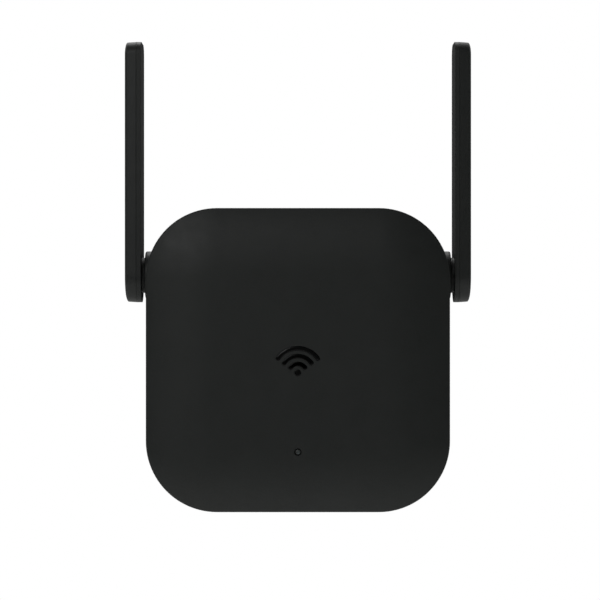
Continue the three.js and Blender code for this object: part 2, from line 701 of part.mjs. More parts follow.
function plugBase() {
  const cup = BOSS_RADIUS - BOSS_WALL;
  const body = turned(
    "y",
    [
      [0, -FACE_WALL],
      [cup, -FACE_WALL],
      [cup, FLANGE_FRONT],
      [FLANGE_RADIUS, FLANGE_FRONT],
      [FLANGE_RADIUS, FLANGE_REAR],
      [BOSS_RADIUS, FLANGE_REAR],
      [BOSS_RADIUS, -BOSS_CHAMFER],
      [BOSS_RADIUS - BOSS_CHAMFER, 0],
      [0, 0],
    ],
    CENTRE,
    LARGE_SIDES,
  );
  const pinPlaces = MIRRORED.map((side) => [(side * PIN_SPACING) / 2, 0]);
  const collarEnds = [-FACE_WALL - COLLAR_LENGTH, -FACE_WALL / 2];
  const collars = pinPlaces.map((place) => rod("y", COLLAR_RADIUS, collarEnds, place));
  const bores = pinPlaces.map((place) => rod("y", PIN_CORE + FIT, [-FAR, FAR], place));
  const notches = MIRRORED.flatMap((side) => [
    block(
      order(side * (BOSS_RADIUS - GUIDE_DEPTH), side * (BOSS_RADIUS + PAST)),
      [Y_REAR, PAST],
      [-GUIDE_WIDTH / 2, GUIDE_WIDTH / 2],
    ),
    block(
      [-CLIP_WIDTH / 2, CLIP_WIDTH / 2],
      [Y_REAR, PAST],
      order(side * (BOSS_RADIUS - CLIP_DEPTH), side * (BOSS_RADIUS + PAST)),
    ),
  ]);
  const padRing = (FLANGE_RADIUS + BOSS_RADIUS) / 2;
  const pads = [1, 3, 5, 7].map((eighth) => {
    const angle = (eighth * Math.PI) / 4;
    const place = [padRing * Math.cos(angle), padRing * Math.sin(angle)];
    return rod("y", FLANGE_PAD, [POWER_REAR + TOUCH, FLANGE_FRONT + TOUCH], place);
  });
  return cut(join(body, ...collars, ...pads), ...bores, ...notches);
}

const SHAFT_FOOT = -FACE_WALL - COLLAR_LENGTH - TOUCH;

function plugPin() {
  const sleeveEnd = SLEEVE_LENGTH + TOUCH;
  const headEnd = SHAFT_FOOT - PIN_HEAD_LENGTH;
  const tailEnd = headEnd - PIN_TAIL_LENGTH;
  const profile = [
    [0, tailEnd],
    [PIN_TAIL, tailEnd],
    [PIN_TAIL, headEnd],
    [PIN_HEAD, headEnd],
    [PIN_HEAD, SHAFT_FOOT],
    [PIN_CORE, SHAFT_FOOT],
    [PIN_CORE, sleeveEnd],
    [PIN_RADIUS, sleeveEnd],
  ];
  for (let i = 0; i <= ROUND_STEPS; i++) {
    const angle = (i / ROUND_STEPS) * (Math.PI / 2);
    profile.push([
      PIN_RADIUS - PIN_TIP_ROUND * (1 - Math.cos(angle)),
      PIN_LENGTH - PIN_TIP_ROUND * (1 - Math.sin(angle)),
    ]);
  }
  profile.push([0, PIN_LENGTH]);
  return turned("y", profile, [PIN_SPACING / 2, 0], MEDIUM_SIDES);
}

function pinSleeve() {
  const inner = PIN_CORE + TOUCH;
  const profile = [
    [inner, TOUCH],
    [SLEEVE_RADIUS, TOUCH],
    [SLEEVE_RADIUS, SLEEVE_LENGTH],
    [inner, SLEEVE_LENGTH],
    [inner, TOUCH],
  ];
  return turned("y", profile, [PIN_SPACING / 2, 0], MEDIUM_SIDES);
}

function pinContact() {
  const [width, thickness] = CONTACT_STRIP;
  const x = PIN_SPACING / 2;
  const xs = [x - width / 2, x + width / 2];
  const z = PIN_TAIL + TOUCH;
  const foot = POWER_REAR + TOUCH;
  const leg = block(xs, [foot, SHAFT_FOOT - PIN_HEAD_LENGTH - 2 * TOUCH], [z, z + thickness]);
  const sole = block(xs, [foot, foot + thickness], [z, z + CONTACT_FOOT]);
  return join(leg, sole);
}

// ---------------------------------------------------------------- hinges and antennas

const NECK_END = LIP_INNER - TOUCH - WASHER_THICKNESS - TOUCH;
const FLANGE_OUTER = NECK_END;
const FLANGE_INNER = FLANGE_OUTER - FLANGE_LENGTH;
const BLADE_INNER = KNUCKLE_OUTER + BLADE_GAP;
const BLADE_OUTER = BLADE_INNER + BLADE_THICKNESS;
const BACK_FACE = BLADE_INNER + BLADE_BACK;

function hingeWasher() {
  const from = FLANGE_OUTER + TOUCH;
  return cut(
    rod("x", POCKET_RADIUS - FIT, [from, from + WASHER_THICKNESS], HINGE),
    rod("x", NECK_RADIUS + FIT, [from - PAST, from + WASHER_THICKNESS + PAST], HINGE),
  );
}

function bladeCover() {
  const start = BACK_FACE + TOUCH;
  const outer = crowned("x", bladeOutline(0), [start, BLADE_OUTER], [BLADE_BAND, BLADE_DROP]);
  const hollow = plate("x", bladeOutline(BLADE_WALL), [start - PAST, BLADE_OUTER - BLADE_WALL]);
  return cut(outer, hollow);
}

// The inner plate of a blade, with the journal that turns in the knuckle.
function bladeBack() {
  const [lipWall, lipHeight] = BLADE_LIP;
  const back = plate("x", bladeOutline(0), [BLADE_INNER, BACK_FACE]);
  const lipInset = BLADE_WALL + FIT;
  const lip = cut(
    plate("x", bladeOutline(lipInset), [BACK_FACE - TOUCH, BACK_FACE + lipHeight]),
    plate("x", bladeOutline(lipInset + lipWall), [BACK_FACE - PAST, BACK_FACE + lipHeight + PAST]),
  );
  const shoulderEnds = [KNUCKLE_OUTER + 2 * TOUCH, BLADE_INNER + TOUCH];
  const shoulder = rod("x", SHOULDER_RADIUS, shoulderEnds, HINGE);
  const neck = rod("x", NECK_RADIUS, [FLANGE_INNER, BLADE_INNER + TOUCH], HINGE);
  const flange = rod("x", FLANGE_ROUND, [FLANGE_INNER, FLANGE_OUTER], HINGE);
  const upright = [Math.PI / 2 - LUG_HALF_ANGLE, Math.PI / 2 + LUG_HALF_ANGLE];
  const lugShape = ringSector(NECK_RADIUS, LUG_RADIUS, upright, HINGE);
  const lug = plate("x", lugShape, [FLANGE_INNER, FLANGE_OUTER]);
  const bore = rod("x", COAX_BORE, [FLANGE_INNER - PAST, BACK_FACE + PAST], HINGE);
  const [deep, wide, high] = COAX_RELIEF;
  const relief = block(
    [BACK_FACE - deep, BACK_FACE + PAST],
    [HINGE_Y - wide / 2, HINGE_Y + wide / 2],
    [HINGE_Z, HINGE_Z + high],
  );
  return cut(join(back, lip, shoulder, neck, flange, lug), bore, relief);
}

const RADIATOR_X = BLADE_OUTER - BLADE_WALL - TOUCH - RADIATOR[0];

function radiator() {
  const [thickness, width, length] = RADIATOR;
  return block(
    [RADIATOR_X, RADIATOR_X + thickness],
    [HINGE_Y - width / 2, HINGE_Y + width / 2],
    [HINGE_Z + RADIATOR_RISE, HINGE_Z + RADIATOR_RISE + length],
  );
}

// The coax from the journal's inner end, through its bore, to the radiator's foot.
function bladeCoax() {
  const rise = (BACK_FACE + BLADE_OUTER - BLADE_WALL) / 2;
  const points = [
    [FLANGE_INNER, HINGE_Y, HINGE_Z],
    [BLADE_INNER - 1, HINGE_Y, HINGE_Z],
    [BLADE_INNER + 0.8, HINGE_Y, HINGE_Z + 0.2],
    [rise - 0.4, HINGE_Y, HINGE_Z + 1.9],
    [rise, HINGE_Y, HINGE_Z + 4.2],
    [rise, HINGE_Y, HINGE_Z + RADIATOR_RISE - COAX_BREAK],
  ];
  return wire(points);
}

const CONNECTOR_X = MAIN_HALF_WIDTH - MAIN_STEP - CONNECTOR.inset;
const CONNECTOR_Z = HINGE_Z - CONNECTOR.drop;

// The coax from the knuckle's mouth to its connector on the main board.
function feedCoax() {
  const start = FLANGE_INNER - COAX_BREAK;
  const end = MAIN_REAR + CONNECTOR.baseHeight + CONNECTOR.height + COAX_RADIUS + 2 * TOUCH;
  const points = [
    [start, HINGE_Y, HINGE_Z],
    [start - 3, HINGE_Y, HINGE_Z],
    [start - 6, HINGE_Y - 0.8, HINGE_Z - 0.4],
    [start - 8.5, (HINGE_Y + end) / 2, HINGE_Z - 1.4],
    [CONNECTOR_X + 2.5, end + 0.2, CONNECTOR_Z + 0.4],
    [CONNECTOR_X - 0.5, end, CONNECTOR_Z],
  ];
  return wire(points);
}

// ---------------------------------------------------------------- main board

function mainBoard() {
  const board = plate("y", mainBoardOutline(), [MAIN_FRONT, MAIN_REAR]);
  const holes = mainScrewPlaces().map((place) =>
    rod("y", SCREW_HOLE, [MAIN_FRONT - PAST, MAIN_REAR + PAST], place),
  );
  return cut(board, ...holes);
}

function shieldCan() {
  const inner = [CAN_SIZE[0] - 2 * CAN_WALL, CAN_SIZE[1], CAN_SIZE[2] - 2 * CAN_WALL];
  const outside = standing(CAN_SIZE, CAN_PLACE, MAIN_FRONT, -1);
  return cut(outside, standing(inner, CAN_PLACE, MAIN_FRONT + CAN_WALL, -1));
}

const wifiChip = () => standing(CHIP_SIZE, CAN_PLACE, MAIN_FRONT, -1);

function thermalPad() {
  const chipFace = MAIN_FRONT - TOUCH - CHIP_SIZE[1];
  const canFace = MAIN_FRONT - TOUCH - CAN_SIZE[1] + CAN_WALL;
  const depth = chipFace - canFace - 2 * TOUCH;
  return standing([CHIP_SIZE[0], depth, CHIP_SIZE[2]], CAN_PLACE, chipFace, -1);
}

const statusLed = () => standing(LED_SIZE, [0, LIGHT_Z], MAIN_FRONT, -1);

function resetSwitch() {
  const x = SWITCH_FACE - SWITCH_SIZE[0] / 2;
  const body = standing(SWITCH_SIZE, [x, RESET_Z], MAIN_REAR, 1);
  const floor = SWITCH_FACE - PLUNGER_ROOT - PLUNGER_TRAVEL;
  const bore = rod("x", PLUNGER_RADIUS + FIT, [floor, FAR], [RESET_Y, RESET_Z]);
  return cut(body, bore);
}

function resetPlunger() {
  const ends = [SWITCH_FACE - PLUNGER_ROOT, SWITCH_FACE + PLUNGER_LENGTH];
  return rod("x", PLUNGER_RADIUS, ends, [RESET_Y, RESET_Z]);
}

function coaxConnector() {
  const { base, baseHeight, radius, height } = CONNECTOR;
  const place = [CONNECTOR_X, CONNECTOR_Z];
  const top = MAIN_REAR + TOUCH + baseHeight + height;
  return join(
    standing([base, baseHeight, base], place, MAIN_REAR, 1),
    rod("y", radius, [MAIN_REAR + 2 * TOUCH, top], place),
  );
}

const linkPins = () => {
  const first = (-(LINK.pins - 1) / 2) * LINK.pitch;
  return Array.from({ length: LINK.pins }, (_, i) => first + i * LINK.pitch);
};
const LINK_WIDTH = LINK.pins * LINK.pitch;
const LINK_PLACE = [0, -LINK_DROP];
const LINK_FLOOR = MAIN_REAR + LINK.floor;
const HEADER_TOP = POWER_FRONT - TOUCH - LINK.base;

function linkHeader() {
  const base = standing([LINK_WIDTH, LINK.base, LINK.depth], LINK_PLACE, POWER_FRONT, -1);
  const half = LINK.pin / 2;
  const pins = linkPins().map((x) =>
    block(
      [x - half, x + half],
      [LINK_FLOOR + SCREW_TIP_GAP, HEADER_TOP + TOUCH],
      [-LINK_DROP - half, -LINK_DROP + half],
    ),
  );
  return join(base, ...pins);
}

function linkSocket() {
  const depth = HEADER_TOP - MAIN_REAR - 3 * TOUCH;
  const body = standing([LINK_WIDTH, depth, LINK.depth], LINK_PLACE, MAIN_REAR, 1);
  const half = LINK.bore / 2;
  const bores = linkPins().map((x) =>
    block([x - half, x + half], [LINK_FLOOR, 0], [-LINK_DROP - half, -LINK_DROP + half]),
  );
  return cut(body, ...bores);
}

// A cross-recessed screw through a board: its head sits on `seat` and it runs to `tip`.
function boardScrew(place, seat, tip) {
  const way = Math.sign(tip - seat);
  const [slot, span, depth] = SCREW_RECESS;
  const under = seat - way * TOUCH;
  const top = under - way * SCREW_HEAD_HEIGHT;
  const head = rod("y", SCREW_HEAD, order(under, top), place);
  const shank = rod("y", SCREW_SHANK, order(top, tip), place);
  const recess = order(top - way, top + way * depth);
  const [x, z] = place;
  const arm = (width, height) =>
    block([x - width / 2, x + width / 2], recess, [z - height / 2, z + height / 2]);
  return cut(join(head, shank), arm(slot, span), arm(span, slot));
}

// ---------------------------------------------------------------- power board

function powerBoard() {
  const [width, height] = POWER_SIZE;
  const shape = roundedRect(width / 2, height / 2, BOARD_CORNER);
  const holes = powerScrewPlaces().map((place) =>
    rod("y", SCREW_HOLE, [POWER_FRONT - PAST, POWER_REAR + PAST], place),
  );
  return cut(plate("y", shape, [POWER_FRONT, POWER_REAR]), ...holes);
}

const SHEET_FRONT = MAIN_REAR + SHEET_GAP;
const SHEET_REAR = SHEET_FRONT + SHEET_THICKNESS;
const PART_FOOT = POWER_FRONT - TOUCH;
const POWER_ROOM = PART_FOOT - SHEET_REAR;
const TRANSFORMER_HEIGHT = POWER_ROOM - TOUCH;

function transformerCore() {
  const { width, depth, leg, core } = TRANSFORMER;
  const height = TRANSFORMER_HEIGHT;
  const [x, z] = TRANSFORMER_PLACE;
  const windows = MIRRORED.map((side) =>
    block(
      order(x + (side * core) / 2, x + side * (width / 2 - leg)),
      [PART_FOOT - height + leg, PART_FOOT - leg],
      [z - depth, z + depth],
    ),
  );
  return cut(standing([width, height, depth], TRANSFORMER_PLACE, POWER_FRONT, -1), ...windows);
}

function transformerCoil() {
  const { depth, leg, core, coil } = TRANSFORMER;
  const [x, z] = TRANSFORMER_PLACE;
  const ys = [PART_FOOT - TRANSFORMER_HEIGHT + leg + FIT, PART_FOOT - leg - FIT];
  const slot = block(
    [x - core / 2 - FIT, x + core / 2 + FIT],
    [ys[0] - PAST, ys[1] + PAST],
    [z - depth / 2 - FIT, z + depth / 2 + FIT],
  );
  return cut(rod("y", coil, ys, TRANSFORMER_PLACE), slot);
}

// A round part lying on the power board.
function lying({ axis, under, start, length, across, radius = (POWER_ROOM - under) / 2 }) {
  const y = PART_FOOT - radius;
  const centre = axis === "x" ? [y, across] : [across, y];
  return rod(axis, radius, [start, start + length], centre);
}

function insulationSheet() {
  const across = CONNECTOR_X - CONNECTOR.base / 2 - SHEET_MARGINS[0];
  const up = POWER_SIZE[1] / 2 - SHEET_MARGINS[1];
  const shape = roundedRect(across, up, BOARD_CORNER);
  return plate("y", shape, [SHEET_FRONT, SHEET_REAR]);
}

// ---------------------------------------------------------------- materials and meshes

const finish = (color, roughness, metalness = 0) =>
  new THREE.MeshStandardMaterial({ color, roughness, metalness });

const FINISHES = {
  shell: finish(0x2a2c2b, 0.55),
  blade: finish(0x292b2a, 0.5),
  gloss: finish(0x0a0b0b, 0.12),
  light: finish(0x3a3c3c, 0.2),
  plug: finish(0x1c1d1d, 0.6),
  nickel: finish(0xc9c8c3, 0.25, 1),
  steel: finish(0xa9abad, 0.35, 1),
  copper: finish(0xb8734a, 0.35, 1),
  board: finish(0x1d5a34, 0.5),
  can: finish(0xb9bbbd, 0.35, 1),
  chip: finish(0x191a1b, 0.5),
  pad: finish(0x8fa3b5, 0.9),
  led: finish(0xe9e6cf, 0.4),
  white: finish(0xdedbd2, 0.5),
  ferrite: finish(0x35373a, 0.6),
  tape: finish(0xd8b63a, 0.4),
  capacitor: finish(0x23314f, 0.4),
  ceramic: finish(0x3f7fb0, 0.5),
  fuse: finish(0x5a4a3a, 0.5),
  coax: finish(0x4a4b4d, 0.6),
  sheet: finish(0xd9d9d2, 0.3),
  label: finish(0x3b3d3e, 0.5),
};

const root = new THREE.Group();

function add(name, slot, solid, group = root) {
  const mesh = new THREE.Mesh(geometryOf(solid), FINISHES[slot]);
  mesh.name = name;
  group.add(mesh);
}

add("front_cover", "shell", frontCover());
add("rear_housing", "shell", rearHousing());
add("emblem_insert", "gloss", emblemInsert());
add("light_pipe", "light", lightPipe());
add("rating_label", "label", ratingLabel());
add("plug_base", "plug", plugBase());

add("main_board", "board", mainBoard());
add("shield_can", "can", shieldCan());
add("wifi_chip", "chip", wifiChip());
add("thermal_pad", "pad", thermalPad());
add("memory_chip", "chip", standing(MEMORY_CHIP.size, MEMORY_CHIP.place, MAIN_REAR, 1));
add("clock_crystal", "can", standing(CLOCK_CRYSTAL.size, CLOCK_CRYSTAL.place, MAIN_REAR, 1));
add("status_led", "led", statusLed());
add("reset_switch", "can", resetSwitch());
add("reset_plunger", "white", resetPlunger());
add("link_socket", "chip", linkSocket());
mainScrewPlaces().forEach((place, i) => {
  const tip = Y_FRONT + WALL / 2 + POST_SKIN + SCREW_TIP_GAP;
  add(`main_board_screw_${i + 1}`, "steel", boardScrew(place, MAIN_REAR + 2 * TOUCH, tip));
});

add("power_board", "board", powerBoard());
add("link_header", "chip", linkHeader());
add("transformer_core", "ferrite", transformerCore());
add("transformer_coil", "tape", transformerCoil());
add("input_capacitor", "capacitor", lying(INPUT_CAPACITOR));
add("output_capacitor", "capacitor", lying(OUTPUT_CAPACITOR));
add("noise_choke", "ferrite", lying(NOISE_CHOKE));
add("fuse", "fuse", lying(FUSE));
add("safety_capacitor", "ceramic", lying(SAFETY_CAPACITOR));
add("bridge_rectifier", "chip", standing(BRIDGE.size, BRIDGE.place, POWER_FRONT, -1));
add("power_chip", "chip", standing(POWER_CHIP.size, POWER_CHIP.place, POWER_FRONT, -1));
powerScrewPlaces().forEach((place, i) => {
  const tip = Y_REAR - POST_SKIN - SCREW_TIP_GAP;
  add(`power_board_screw_${i + 1}`, "steel", boardScrew(place, POWER_FRONT - 2 * TOUCH, tip));
});
add("insulation_sheet", "sheet", insulationSheet());

// What there is on both sides is made once, on the right, and mirrored for the left.
const SIDES = [
  ["right", 1],
  ["left", -1],
];
for (const [side, scale] of SIDES) {
  const group = new THREE.Group();
  group.scale.x = scale;
  root.add(group);
  add(`plug_pin_${side}`, "nickel", plugPin(), group);
  add(`pin_sleeve_${side}`, "plug", pinSleeve(), group);
  add(`pin_contact_${side}`, "copper", pinContact(), group);
  add(`coax_connector_${side}`, "copper", coaxConnector(), group);
  add(`feed_coax_${side}`, "coax", feedCoax(), group);
  add(`hinge_washer_${side}`, "white", hingeWasher(), group);
  add(`antenna_cover_${side}`, "blade", bladeCover(), group);
  add(`antenna_back_${side}`, "blade", bladeBack(), group);
  add(`antenna_radiator_${side}`, "board", radiator(), group);
  add(`antenna_coax_${side}`, "coax", bladeCoax(), group);
}

export default root;
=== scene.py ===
"""Plug-in wireless range extender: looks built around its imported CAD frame.

Sizes are in millimetres until a piece is finished, when its mesh goes to metres.
+Z is up, +X is to the right as seen from the front, and +Y goes towards the wall.
"""

import json
import logging
import math
from dataclasses import dataclass, field
from enum import Enum
from functools import lru_cache

import bmesh
import bpy
from mathutils import Matrix, Vector


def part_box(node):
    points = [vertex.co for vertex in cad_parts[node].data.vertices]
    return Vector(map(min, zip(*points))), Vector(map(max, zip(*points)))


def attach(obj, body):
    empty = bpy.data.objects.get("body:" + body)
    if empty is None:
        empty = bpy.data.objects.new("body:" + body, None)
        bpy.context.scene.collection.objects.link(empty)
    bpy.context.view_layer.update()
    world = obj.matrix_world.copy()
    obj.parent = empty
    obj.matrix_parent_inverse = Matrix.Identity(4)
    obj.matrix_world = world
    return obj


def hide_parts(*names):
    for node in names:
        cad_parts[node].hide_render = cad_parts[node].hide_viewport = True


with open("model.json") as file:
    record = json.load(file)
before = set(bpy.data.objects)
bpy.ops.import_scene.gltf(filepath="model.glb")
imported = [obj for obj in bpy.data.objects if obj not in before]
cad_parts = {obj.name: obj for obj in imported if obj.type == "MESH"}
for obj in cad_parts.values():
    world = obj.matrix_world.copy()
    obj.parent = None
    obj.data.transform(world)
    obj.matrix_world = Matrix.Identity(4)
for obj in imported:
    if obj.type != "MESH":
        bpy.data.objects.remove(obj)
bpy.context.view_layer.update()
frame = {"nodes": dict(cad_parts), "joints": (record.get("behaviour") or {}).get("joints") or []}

log = logging.getLogger("range_extender")

MM = 0.001  # metres in a millimetre
TINY = 1e-3  # lengths shorter than this count as nothing
TOUCH = 0.05  # gap between parts that rest on each other, and overlap of joined forms
FAR = 99.0  # further than any part of the object
CAP_MARGIN = 0.3  # ring kept level round the flat middle of a crowned face
SAME_PLANE = math.radians(0.02)  # faces that turn less than this are made one
SHARP_EDGE = math.radians(32)  # edges that turn more than this aren't shaded smooth
FLAT_AREA = 1e-4  # square metres more that let a larger face set the shading
FACING = 0.9999  # a unit normal's part along an axis when it points along it
FLANGE_OVERHANG = 3.0  # the plug's flange beyond its boss
SOFT = (0.35, 0.65)  # the part of a noise that soft patches use
WIDE = (0.3, 0.7)  # the part of a noise that holds nearly all of it
Colour = tuple[float, float, float]
Place = tuple[float, float, float]
Span = tuple[float, float]


# ------------------------------------------------------------------------- options


class Axis(Enum):
    """An axis of the frame, as its place in a vector."""

    X = 0
    Y = 1
    Z = 2


class Side(Enum):
    """A side of the housing, as the sign of X there."""

    LEFT = -1
    RIGHT = 1

    @property
    def word(self) -> str:
        """The side's name as the CAD nodes spell it."""
        return self.name.lower()


class Body(Enum):
    """The bodies of the frame that pieces ride on."""

    HOUSING = "housing"
    ANTENNA_LEFT = "antenna_left"
    ANTENNA_RIGHT = "antenna_right"

    @classmethod
    def antenna(cls, side: Side) -> "Body":
        """The body of one side's antenna."""
        return cls.ANTENNA_LEFT if side is Side.LEFT else cls.ANTENNA_RIGHT


class Slot(Enum):
    """The record's material slots."""

    SHELL = "shell"
    BLADE = "blade"
    GLOSS = "gloss"
    LIGHT = "light"
    LABEL = "label"
    PLUG = "plug"
    NICKEL = "nickel"
    STEEL = "steel"
    COPPER = "copper"
    BOARD = "board"
    CAN = "can"
    CHIP = "chip"
    PAD = "pad"
    LED = "led"
    WHITE = "white"
    FERRITE = "ferrite"
    TAPE = "tape"
    CAPACITOR = "capacitor"
    CERAMIC = "ceramic"
    FUSE = "fuse"
    COAX = "coax"
    SHEET = "sheet"


class Mixing(Enum):
    """How one form acts on another."""

    JOIN = "UNION"
    CUT = "DIFFERENCE"
    KEEP = "INTERSECT"


# ------------------------------------------------------------------------- frame


@dataclass(frozen=True)
class Extent:
    """The box of a CAD node at rest, in millimetres."""

    low: Vector
    high: Vector

    @classmethod
    @lru_cache(maxsize=None)
    def of(cls, node: str) -> "Extent":
        """Reads a node's box from the frame, once.

        Args:
            node: The CAD node's name.

        Returns:
            Its box in millimetres.
        """
        low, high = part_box(node)
        return cls(low / MM, high / MM)

    @property
    def middle(self) -> Vector:
        """The middle of the box."""
        return (self.low + self.high) / 2


def boss_radius() -> float:
    """Radius of the plug's boss, which stands off the rear face."""
    return Extent.of("plug_base").high.x - FLANGE_OVERHANG


def quarter(spans: int) -> list[float]:
    """Angles from nothing to a right angle, in equal spans."""
    return [math.radians(90 * i / spans) for i in range(spans + 1)]


def joint_place(name: str) -> Vector:
    """A joint's place in the frame.

    Args:
        name: The joint's name in the record.

    Returns:
        The place in millimetres.
    """
    joint = next(j for j in frame["joints"] if j["name"] == name)
    return Vector(joint["pos_m"]) / MM


# ------------------------------------------------------------------------- forms


class Form:
    """A closed form in millimetres, shaped by bmesh operators."""

    def __init__(self, mesh: bmesh.types.BMesh) -> None:
        """Takes charge of a bmesh."""
        self.mesh = mesh

    @classmethod
    def block(cls, low: Vector | tuple, high: Vector | tuple) -> "Form":
        """A block between two corners.

        Args:
            low: The lowest corner.
            high: The highest corner.

        Returns:
            The form.
        """
        low, high = Vector(low), Vector(high)
        mesh = bmesh.new()
        place = Matrix.LocRotScale((low + high) / 2, None, high - low)
        bmesh.ops.create_cube(mesh, size=1, matrix=place)
        return cls(mesh)

    @classmethod
    def prism(
        cls,
        axis: Axis,
        low: Vector | tuple,
        high: Vector | tuple,
        corner: float,
        steps: int = 12,
        top_corner: float | None = None,
    ) -> "Form":
        """A block whose four edges along an axis are rounded.

        Args:
            axis: The axis that the rounded edges run along.
            low: The lowest corner of the block.
            high: The highest corner of the block.
            corner: Radius of the rounded edges.
            steps: Spans on each of them.
            top_corner: Radius of the two upper ones, where it differs.

        Returns:
            The form.
        """
        form = cls.block(low, high)
        middle = (low[2] + high[2]) / 2
        upper = corner if top_corner is None else top_corner
        for radius, above in ((corner, False), (upper, True)):
            edges = []
            for edge in form.mesh.edges:
                a, b = (v.co for v in edge.verts)
                along = abs(a[axis.value] - b[axis.value]) > TINY
                if along and ((a.z + b.z) / 2 > middle) is above:
                    edges.append(edge)
            form.bevel(edges, radius, steps)
        return form

    @classmethod
    def rod(
        cls,
        axis: Axis,
        radius: float,
        ends: Span,
        centre: Span,
        round_edges: float = 0.0,
        sides: int = 48,
    ) -> "Form":
        """A round rod along an axis, with its edges rounded if wanted.

        Args:
            axis: The rod's axis.
            radius: Its radius.
            ends: Its two ends on that axis.
            centre: Its place on the other two axes, in their order.
            round_edges: Radius of the rounding at both ends.
            sides: Flats round the rod.

        Returns:
            The form.
        """
        start, end = sorted(ends)
        mesh = bmesh.new()
        bmesh.ops.create_cone(
            mesh, cap_ends=True, segments=sides, radius1=radius, radius2=radius,
            depth=end - start,
        )
        form = cls(mesh)
        form._turn_to(axis, (start + end) / 2, centre)
        if round_edges:
            form.soften(axis, 1, round_edges, 4)
            form.soften(axis, -1, round_edges, 4)
        return form

    @classmethod
    def turned(
        cls, axis: Axis, profile: list[Span], centre: Span, sides: int = 64
    ) -> "Form":
        """A profile spun all the way round an axis.

        Args:
            axis: The axis.
            profile: The outline as (radius, place on the axis), closed at the axis or
                back on its first point.
            centre: The axis's place on the other two axes, in their order.
            sides: Spans round it.

        Returns:
            The form.
        """
        mesh = bmesh.new()
        points = [mesh.verts.new((radius, 0, place)) for radius, place in profile]
        edges = [mesh.edges.new(pair) for pair in zip(points, points[1:])]
        if profile[0][0] > TINY:
            edges.append(mesh.edges.new((points[-1], points[0])))
        bmesh.ops.spin(
            mesh,
            geom=points + edges,
            cent=(0, 0, 0),
            axis=(0, 0, 1),
            angle=2 * math.pi,
            steps=sides,
            use_merge=True,
        )
        form = cls(mesh)
        form._turn_to(axis, 0, centre)
        form.tidy()
        return form

    @classmethod
    def arc_bar(
        cls, radius: float, half_width: float, ends: Span, centre: Span, half_angle: float
    ) -> "Form":
        """A bar bent round the Y axis, with round ends, open downwards.

        Args:
            radius: Radius of its centre line.
            half_width: Half its width.
            ends: Its two ends on Y.
            centre: Centre of the bend in X and Z.
            half_angle: Reach either side of straight up, in radians.

        Returns:
            The form.
        """
        front, back = ends
        mesh = bmesh.new()
        corners = [
            mesh.verts.new((radius + across * half_width, place, 0))
            for across, place in ((-1, front), (1, front), (1, back), (-1, back))
        ]
        face = mesh.faces.new(corners)
        bmesh.ops.spin(
            mesh,
            geom=[*corners, *face.edges, face],
            cent=(0, 0, 0),
            axis=(0, -1, 0),
            angle=2 * half_angle,
            steps=48,
        )
        turn = Matrix.Rotation(-(math.pi / 2 - half_angle), 4, "Y")
        shift = Matrix.Translation((centre[0], 0, centre[1]))
        bmesh.ops.transform(mesh, matrix=shift @ turn, verts=mesh.verts)
        form = cls(mesh)
        form.tidy()
        for way in (-1, 1):
            angle = math.pi / 2 + way * half_angle
            x = centre[0] + radius * math.cos(angle)
            z = centre[1] + radius * math.sin(angle)
            form.join(cls.rod(Axis.Y, half_width, ends, (x, z), sides=32))
        return form

    def copy(self) -> "Form":
        """The same form again."""
        return Form(self.mesh.copy())

    def _turn_to(self, axis: Axis, along: float, centre: Span) -> None:
        """Turns a form made along Z onto an axis and moves it into place.

        Args:
            axis: The axis it goes to.
            along: How far it moves along that axis.
            centre: Its place on the other two axes, in their order.
        """
        if axis is Axis.X:
            turn = Matrix.Rotation(math.pi / 2, 4, "Y")
            place = Vector((along, *centre))
        elif axis is Axis.Y:
            turn = Matrix.Rotation(-math.pi / 2, 4, "X")
            place = Vector((centre[0], along, centre[1]))
        else:
            turn = Matrix.Identity(4)
            place = Vector((*centre, along))
        matrix = Matrix.Translation(place) @ turn
        bmesh.ops.transform(self.mesh, matrix=matrix, verts=self.mesh.verts)

    def bevel(self, edges: list, radius: float, steps: int) -> None:
        """Rounds edges.

        Args:
            edges: The edges.
            radius: Radius of the rounding.
            steps: Spans on it.
        """
        if not edges:
            return
        bmesh.ops.bevel(
            self.mesh,
            geom=edges,
            offset=radius,
            offset_type="OFFSET",
            segments=steps,
            profile=0.5,
            affect="EDGES",
            clamp_overlap=False,
            material=-1,
        )
        bmesh.ops.remove_doubles(self.mesh, verts=self.mesh.verts, dist=TINY / 10)

    def _end(self, axis: Axis, way: int) -> float:
        """The form's last place along an axis, in the direction of way."""
        places = [v.co[axis.value] for v in self.mesh.verts]
        return max(places) if way > 0 else min(places)

    def _at_end(self, axis: Axis, way: int, items: list) -> list:
        """The edges or faces among items that lie in the form's end plane."""
        end = self._end(axis, way)
        return [
            item
            for item in items
            if all(abs(v.co[axis.value] - end) < TINY for v in item.verts)
        ]

    def soften(self, axis: Axis, way: int, radius: float, steps: int = 3) -> None:
        """Rounds the edge of an end face.

        Args:
            axis: The axis the end face is square to.
            way: Which end of it, -1 or 1.
            radius: Radius of the rounding.
            steps: Spans on it.
        """
        self.bevel(self._at_end(axis, way, list(self.mesh.edges)), radius, steps)

    def draft(self, axis: Axis, way: int, amount: float) -> None:
        """Draws an end face in on all sides, so that the walls taper towards it.

        Args:
            axis: The axis the end face is square to.
            way: Which end of it, -1 or 1.
            amount: How far each side of the end face comes in.
        """
        verts = list({v for f in self._at_end(axis, way, list(self.mesh.faces)) for v in f.verts})
        sizes = [max(v.co[i] for v in verts) - min(v.co[i] for v in verts) for i in range(3)]
        scale = [1 - 2 * amount / s if s > TINY else 1 for s in sizes]
        middle = Vector(
            [(max(v.co[i] for v in verts) + min(v.co[i] for v in verts)) / 2 for i in range(3)]
        )
        bmesh.ops.scale(
            self.mesh, vec=scale, space=Matrix.Translation(-middle), verts=verts
        )

